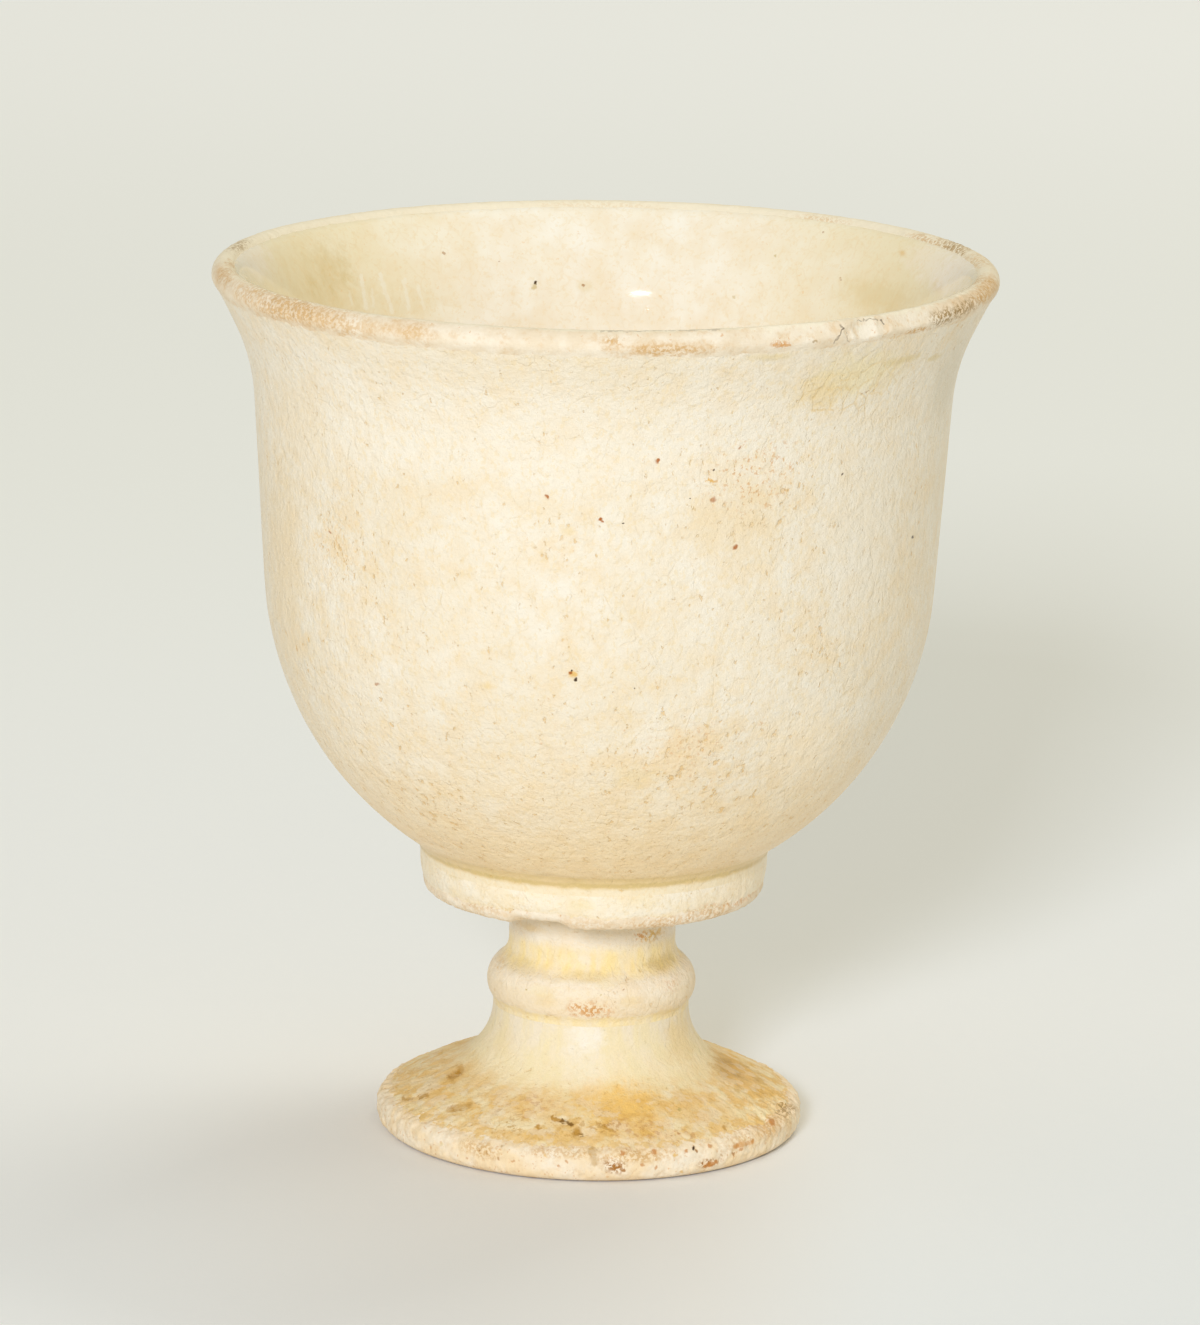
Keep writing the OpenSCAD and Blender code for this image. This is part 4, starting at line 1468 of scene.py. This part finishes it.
FOOT_DIRT = [
    ((505, 1127), (3.2, 2.2, 1.5), 0.6, GOLD_BROWN), ((456, 1073), (1, 1.6, 1.2), 1, GOLD_BROWN),
    ((416, 1096), (2, 1, 0.8), 1, GOLD_BROWN), ((459, 1107), (1.8, 0.8, 0.8), 0.9, GOLD_BROWN),
    ((585, 1128), (5.5, 2, 1.5), 0.5, GOLD_BROWN), ((728, 1122), (3, 1.6, 1.2), 0.4, GOLD_BROWN),
    ((770, 1100), (3, 3, 2), 0.5, GOLD_BROWN), ((640, 1128), (5, 3, 2), 0.3, RUST),
    ((530, 1105), (4, 2.5, 2), 0.3, RUST), ((690, 1140), (4, 2, 1.5), 0.4, RUST),
]
FOOT_LINES = [
    ((553, 1118), (562, 1121), 0.26, 0.9, GOLD_BROWN), ((562, 1121), (572, 1124), 0.24, 0.9, UMBER),
    ((404, 1099), (426, 1095), 0.36, 0.7, GOLD_BROWN), ((449, 1110), (469, 1105), 0.4, 0.5, GOLD_BROWN),
    ((452, 1076), (460, 1070), 0.6, 0.6, GOLD_BROWN), ((600, 1126), (612, 1130), 0.24, 0.6, GOLD_BROWN),
]
FOOT_SPECKS = [
    ((577, 1132), 0.6, 0.9, GOLD_BROWN), ((580, 1134), 0.36, 1, UMBER),
    ((538, 1127), 0.34, 0.9, GOLD_BROWN), ((679, 1109), 0.24, 0.8, DEEP_OLIVE),
    ((695, 1148), 0.34, 0.9, UMBER), ((726, 1127), 0.36, 0.8, GOLD_BROWN),
]
print("marks on the foot:", len(FOOT_STAINS_AND_HIGHLIGHT + FOOT_DIRT + FOOT_LINES + FOOT_SPECKS))

# %% Foot
FOOT_CREAM = srgb(246, 228, 188)
foot_top = Surface("foot_coat", FOOT_CREAM)
tree = foot_top.tree
low_part = foot_top.band(0.0, 7.6, 3.0, uneven=0.9)
upper_part = foot_top.band(7.0, 20.0, 4.0, uneven=1.0, slow=True)
foot_top.lay(IVORY, upper_part, 0.9)
foot_top.lay(YELLOW_IVORY, foot_top.streaks(1.4, 0.16, 41.0), 0.8)
foot_top.lay(LIGHT_TAN, times(tree, low_part, foot_top.cloud(2.2, 0.16, 42.0)), 0.75)
foot_top.lay_patches(FOOT_STAINS_AND_HIGHLIGHT)
foot_top.lay(OCHRE, times(tree, low_part, foot_top.cloud(1.9, 0.08, 44.0)), 0.75)
foot_top.lay(PALE_IVORY, times(tree, low_part, foot_top.flecks(2.0, 0.8, 45.0)), 0.36)
cover = maths(tree, "MULTIPLY_ADD", low_part, 0.5, 0.25)
plain = foot_top.colour
gloss, height = glaze_skin(foot_top, cover, gloss_low=0.46, fleck=0.6)
foot_top.lay(plain, foot_top.band(7.0, 30.0, 3.0, uneven=1.0), 0.75)
foot_top.lay_patches(FOOT_DIRT, foot_top.flecks(0.6, 0.8, 43.0))
foot_top.lay_lines(FOOT_LINES)
foot_top.lay_specks(FOOT_SPECKS)
gloss = maths(tree, "MULTIPLY_ADD", low_part, 0.2, gloss)
foot_top.end(gloss, height, SKIN_BUMP)
print("foot glazed:", len(tree.nodes), "nodes")

# %% [markdown]
# ## Bare clay, slip and paper
# Where the glaze is gone, the body shows as a pinkish cream clay with a coarse grain, darker in its
# hollows, and with orange and brown crumbs where it was handled. The grain is geometry along the worn
# edges, and this finish adds the finer half of it. The slip is the same clay, thinned, and shows only in a
# cut cup.

# %% Marks on the bare lip
PALE_CLAY = srgb(250, 238, 217)
CLAY_SHADE = srgb(228, 194, 148)
GRAIN_TAN = srgb(212, 166, 102)
GRAIN_BROWN = srgb(164, 130, 76)
# Dark brown for cracks, and for painted shade along the front of the lip's crest.
CRACK_AND_SHADE_BROWN = srgb(112, 94, 74)
LIP_TAN = srgb(220, 180, 124)
LIP_TINTS = [
    ((300, 315), (9, 12, 2.2), 0.5, CLAY_SHADE), ((410, 330), (4, 4, 1.4), 0.5, CLAY_SHADE),
    ((670, 348), (8, 4, 0.9), 0.45, CLAY_SHADE), ((960, 300), (4, 7, 2.4), 0.5, CLAY_SHADE),
    ((985, 282), (3, 6, 2.2), 0.6, CLAY_SHADE), ((226, 266), (2.4, 6, 2.2), 0.5, CLAY_SHADE),
    ((868, 333), (2.4, 4, 1.5), 0.9, PALE_CLAY), ((913, 318), (2.6, 4, 1.2), 0.6, PALE_CLAY),
]
LIP_DIRT = [
    ((285, 308), (8, 11, 2), 0.7, GRAIN_TAN), ((410, 332), (3.4, 4, 1.3), 0.6, LIP_TAN),
    ((670, 350), (7, 4, 0.9), 0.75, GRAIN_TAN), ((780, 345), (1.2, 2, 0.5), 0.8, ORANGE),
    ((946, 318), (3.2, 5, 1.1), 0.85, GRAIN_BROWN), ((966, 307), (3, 5, 1), 0.8, GRAIN_BROWN),
    ((981, 296), (2.2, 5, 0.9), 0.8, GRAIN_TAN), ((955, 248), (4, 6, 1), 0.6, LIP_TAN),
    ((958, 247), (3, 6, 0.7), 0.7, GRAIN_BROWN), ((232, 262), (1, 3, 0.9), 0.8, GRAIN_TAN),
    ((345, 325), (5, 6, 1.6), 0.6, LIP_TAN), ((245, 291), (3, 6, 1.4), 0.5, LIP_TAN),
    ((899, 340), (1.2, 2, 0.45), 0.9, OCHRE), ((918, 331), (2.6, 4, 0.4), 0.8, GRAIN_TAN),
    ((612, 341), (1.4, 2, 0.6), 0.8, GRAIN_TAN), ((430, 226), (1.2, 3, 0.6), 0.6, GRAIN_TAN),
    ((986, 284), (2.6, 5, 1.6), 0.7, GRAIN_TAN), ((980, 262), (2.4, 6, 1.2), 0.6, LIP_TAN),
    ((224, 272), (2, 5, 1.8), 0.6, GRAIN_TAN), ((240, 243), (2.2, 6, 0.8), 0.7, GRAIN_BROWN),
    ((925, 240), (3, 6, 0.6), 0.6, GRAIN_TAN), ((820, 220), (4, 5, 0.5), 0.5, LIP_TAN),
    ((350, 228), (5, 6, 0.5), 0.5, LIP_TAN), ((600, 206), (9, 5, 0.4), 0.25, LIP_TAN),
]
LIP_LINES = [
    ((839, 323), (844, 329), 0.1, 0.6, CRACK_AND_SHADE_BROWN), ((845, 324), (843, 330), 0.11, 0.6, CRACK_AND_SHADE_BROWN),
    ((843, 329), (839, 336), 0.11, 0.65, CRACK_AND_SHADE_BROWN), ((839, 336), (834, 343), 0.09, 0.5, CRACK_AND_SHADE_BROWN),
    ((847, 331), (849, 342), 0.08, 0.4, CRACK_AND_SHADE_BROWN), ((856, 321), (870, 319), 0.08, 0.5, CRACK_AND_SHADE_BROWN),
    ((870, 319), (883, 321), 0.08, 0.45, CRACK_AND_SHADE_BROWN), ((882, 321), (884, 324), 0.13, 0.7, DARK_IRON),
    ((888, 331), (879, 344), 0.09, 0.4, GRAIN_TAN), ((774, 345), (790, 346), 0.18, 0.7, ORANGE),
    ((813, 342), (817, 341), 0.12, 0.6, GRAIN_BROWN), ((600, 331), (720, 329), 0.1, 0.3, CRACK_AND_SHADE_BROWN),
# The last line here is painted shade along the front of the lip's crest, where it hides the inside.
]
print("marks on the lip:", len(LIP_TINTS + LIP_DIRT + LIP_LINES))

# %% Marks on the bare edges of the collar and the foot
SPECK_ORANGE = srgb(200, 132, 62)
COLLAR_EDGE_DIRT = [
    ((712, 913), (4.4, 5, 1.2), 0.6, GRAIN_TAN), ((660, 924), (4.4, 4, 1), 0.6, GRAIN_TAN),
    ((480, 906), (3.4, 4, 1), 0.5, GRAIN_TAN), ((742, 897), (3, 5, 1.2), 0.6, ORANGE),
    ((590, 925), (4, 4, 0.8), 0.4, LIP_TAN),
]
FOOT_EDGE_SPECKS = [
    ((622, 1153), 0.28, 0.8, SPECK_ORANGE), ((626, 1148), 0.22, 0.8, SPECK_ORANGE),
    ((654, 1152), 0.34, 0.8, SPECK_ORANGE), ((615, 1167), 0.34, 0.9, BROWN),
    ((623, 1170), 0.2, 0.9, BROWN), ((642, 1165), 0.26, 0.7, SPECK_ORANGE),
    ((656, 1168), 0.24, 0.7, SPECK_ORANGE), ((686, 1151), 0.26, 0.8, SPECK_ORANGE),
    ((694, 1148), 0.22, 1, DARK_IRON), ((697, 1151), 0.24, 0.9, BROWN),
    ((710, 1146), 0.26, 0.7, SPECK_ORANGE), ((722, 1156), 0.24, 0.6, OLIVE_BROWN),
    ((737, 1146), 0.3, 0.8, SPECK_ORANGE), ((741, 1149), 0.22, 0.7, SPECK_ORANGE),
    ((733, 1154), 0.2, 0.8, BROWN), ((752, 1141), 0.26, 0.8, SPECK_ORANGE),
    ((772, 1122), 0.44, 0.8, SPECK_ORANGE), ((781, 1084), 0.28, 0.8, BROWN),
    ((675, 1155), 0.22, 0.8, OCHRE), ((681, 1172), 0.26, 0.7, OCHRE), ((480, 1150), 0.2, 0.7, BROWN),
    ((487, 1153), 0.18, 0.7, BROWN), ((502, 1146), 0.22, 0.6, OLIVE_BROWN),
    ((513, 1161), 0.18, 0.6, SPECK_ORANGE), ((498, 1158), 0.18, 0.6, BROWN),
    ((441, 1144), 0.28, 0.5, OLIVE), ((559, 1167), 0.2, 0.6, SPECK_ORANGE),
    ((567, 1161), 0.18, 0.6, SPECK_ORANGE), ((467, 1158), 0.18, 0.5, SPECK_ORANGE),
    ((545, 1156), 0.2, 0.5, OCHRE),
]
FOOT_EDGE_LINES = [
    ((705, 1166), (717, 1162), 0.26, 0.8, SPECK_ORANGE),
    ((592, 1150), (594, 1162), 0.5, 0.5, OLIVE_BROWN), ((735, 1146), (752, 1142), 0.3, 0.6, ORANGE),
]
FOOT_EDGE_TINTS = [
    ((770, 1125), (4, 4, 1.6), 0.5, CLAY_SHADE), ((785, 1100), (3, 5, 1.8), 0.5, CLAY_SHADE),
    ((560, 1165), (5, 3, 1.2), 0.35, PALE_CLAY), ((690, 1160), (4, 3, 1.2), 0.5, PALE_CLAY),
]
FOOT_EDGE_DIRT = [
    ((640, 1156), (6, 3, 0.9), 0.7, GRAIN_TAN), ((614, 1167), (1.4, 2, 0.8), 1, BROWN),
    ((709, 1163), (1.8, 2, 0.6), 1, BROWN), ((770, 1125), (3.4, 4, 1.4), 0.7, GRAIN_TAN),
    ((786, 1105), (2.4, 4, 1.6), 0.8, GRAIN_BROWN), ((480, 1150), (3, 3, 1), 0.7, GRAIN_TAN),
    ((740, 1142), (4, 3, 1.2), 0.5, GRAIN_TAN), ((560, 1152), (5, 3, 0.8), 0.5, GRAIN_TAN),
]
FOOT_EDGE_MARKS = FOOT_EDGE_TINTS + FOOT_EDGE_DIRT + FOOT_EDGE_LINES + FOOT_EDGE_SPECKS
print("marks on the collar's edge:", len(COLLAR_EDGE_DIRT), "and on the foot's:", len(FOOT_EDGE_MARKS))

# %% Bare clay
PINK_CLAY = srgb(238, 218, 187)
RIM_CLAY = srgb(246, 220, 178)
LIP_GLAZE = srgb(246, 234, 207)
FOOT_OCHRE = srgb(238, 202, 138)
# Partly dirt, partly painted contact shade where the foot meets the sheet.
GROUND_DIRT_AND_CONTACT_SHADE = srgb(150, 108, 66)
LIP_INNER_HALF = (34.35, 34.75)
LIP_SIDES = (-8.0, 4.0)
LIP_BACK = (20.0, 28.0)
SHOULDER_END = 3.1
GROUND_LINE = 0.15
RESTING_RING = (17.0, 18.0)


def radius_of(surface):
    """The distance from the axis, in mm."""
    return length_of(surface.tree, moved(surface.tree, surface.at, (1.0, 1.0, 0.0), "MULTIPLY"))


def glazed_lip(surface):
    """Where glaze still covers the lip: over its inner half, and most of it round the back."""
    tree = surface.tree
    radius = maths(tree, "MULTIPLY_ADD", surface.fine, 0.6, radius_of(surface))
    depth = maths(tree, "MULTIPLY_ADD", surface.fine, 4.0, part(tree, surface.at, "Y"))
    behind = times(tree, ramp(tree, depth, *LIP_SIDES), ramp(tree, depth, *LIP_BACK, 1.0, 0.0))
    return most(tree, ramp(tree, radius, *LIP_INNER_HALF, 1.0, 0.0), behind)


def glazed_shoulder(surface):
    """Where a thin stained glaze reaches over the foot's shoulder, down to its ragged end."""
    return surface.band(SHOULDER_END, 30.0, 0.12, uneven=0.7)


def bare_clay(name, base, crumbs, shade, tints=(), dirt=(), lines=(), specks=(),
              thin_glaze=None, ground=False):
    """A grainy clay, darker in its hollows, with crumbs and stains of its own and thin glaze on part of it.
    With ground set, a thin brown line at its foot is partly dirt and partly painted contact shade.
    """
    surface = Surface(name, base)
    tree = surface.tree
    grain = use(tree, GRAIN, Vector=surface.at, Grain=0.4)
    surface.lay(PALE_CLAY, surface.cloud(2.4, 0.14, 51.0), 0.6)
    surface.lay_patches(tints)
    surface.lay(CLAY_SHADE, grain["Hollows"], shade)
    surface.lay(ORANGE, surface.flecks(0.4, crumbs, 52.0), 0.6)
    if thin_glaze is not None:
        cover, glaze_tone = thin_glaze
        surface.lay(glaze_tone, cover(surface), 0.85)
    surface.lay_patches(dirt, surface.flecks(0.3, 1.05, 53.0))
    surface.lay_specks(specks)
    surface.lay_lines(lines)
    # Partly dirt, partly painted contact shade: a thin brown line along the foot's outer bottom edge.
    if ground:
        low_edge = surface.band(-1.0, GROUND_LINE, 0.1, uneven=0.1)
        outer_edge = ramp(tree, radius_of(surface), *RESTING_RING)
        surface.lay(GROUND_DIRT_AND_CONTACT_SHADE, times(tree, low_edge, outer_edge), 0.7)
    roughness = maths(tree, "MULTIPLY_ADD", grain["Hollows"], 0.15, 0.65)
    surface.end(roughness, grain["Height"], 0.2)
    print(name, "drawn:", len(tree.nodes), "nodes")


bare_clay(
    "bowl_bare_clay", PINK_CLAY, crumbs=0.3, shade=0.5, tints=LIP_TINTS, dirt=LIP_DIRT, lines=LIP_LINES,
    thin_glaze=(glazed_lip, LIP_GLAZE))
bare_clay("collar_bare_clay", PINK_CLAY, crumbs=0.4, shade=0.4, dirt=COLLAR_EDGE_DIRT)
bare_clay(
    "foot_bare_clay", RIM_CLAY, crumbs=0.45, shade=0.4, tints=FOOT_EDGE_TINTS, dirt=FOOT_EDGE_DIRT,
    lines=FOOT_EDGE_LINES, specks=FOOT_EDGE_SPECKS, thin_glaze=(glazed_shoulder, FOOT_OCHRE), ground=True)
bare_clay("joint_slip", CLAY_SHADE, crumbs=0.1, shade=0.3)

# %% Paper sheet
# Painted light and shade on the sheet: lighter to the left and towards the back, darker to the right and in a
# band behind the cup.
FRONT_PAPER = srgb(239, 237, 234)
NEAR_PAPER_PAINTED_LIGHT = srgb(244, 244, 243)
BACK_PAPER_PAINTED_LIGHT = srgb(255, 255, 255)
MID_PAPER_PAINTED_SHADE = srgb(244, 244, 240)
LEFT_PAPER_PAINTED_LIGHT = srgb(248, 248, 247)
RIGHT_PAPER_PAINTED_SHADE = srgb(237, 239, 240)
paper = Surface("paper", FRONT_PAPER)
tree = paper.tree
across = part(tree, paper.at, "X")
depth = part(tree, paper.at, "Y")
# Painted light on the left, painted shade on the right.
paper.lay(LEFT_PAPER_PAINTED_LIGHT, ramp(tree, across, -5.0, -50.0))
paper.lay(RIGHT_PAPER_PAINTED_SHADE, ramp(tree, across, 8.0, 28.0))
# Painted light that rises towards the back.
paper.lay(NEAR_PAPER_PAINTED_LIGHT, ramp(tree, depth, -20.0, 50.0))
paper.lay(BACK_PAPER_PAINTED_LIGHT, ramp(tree, depth, 50.0, 650.0))
# Painted shade: a darker band behind the cup.
painted_shade_dip = times(tree, ramp(tree, depth, 60.0, 300.0), ramp(tree, depth, 380.0, 800.0, 1.0, 0.0))
paper.lay(MID_PAPER_PAINTED_SHADE, painted_shade_dip, 0.8)
paper.end(0.85, speckle(tree, paper.at, 0.8, 3.0, 0.6, 61.0), 0.02)
sheet_mesh.materials.append(finish["paper"])
print("paper sheet finished")
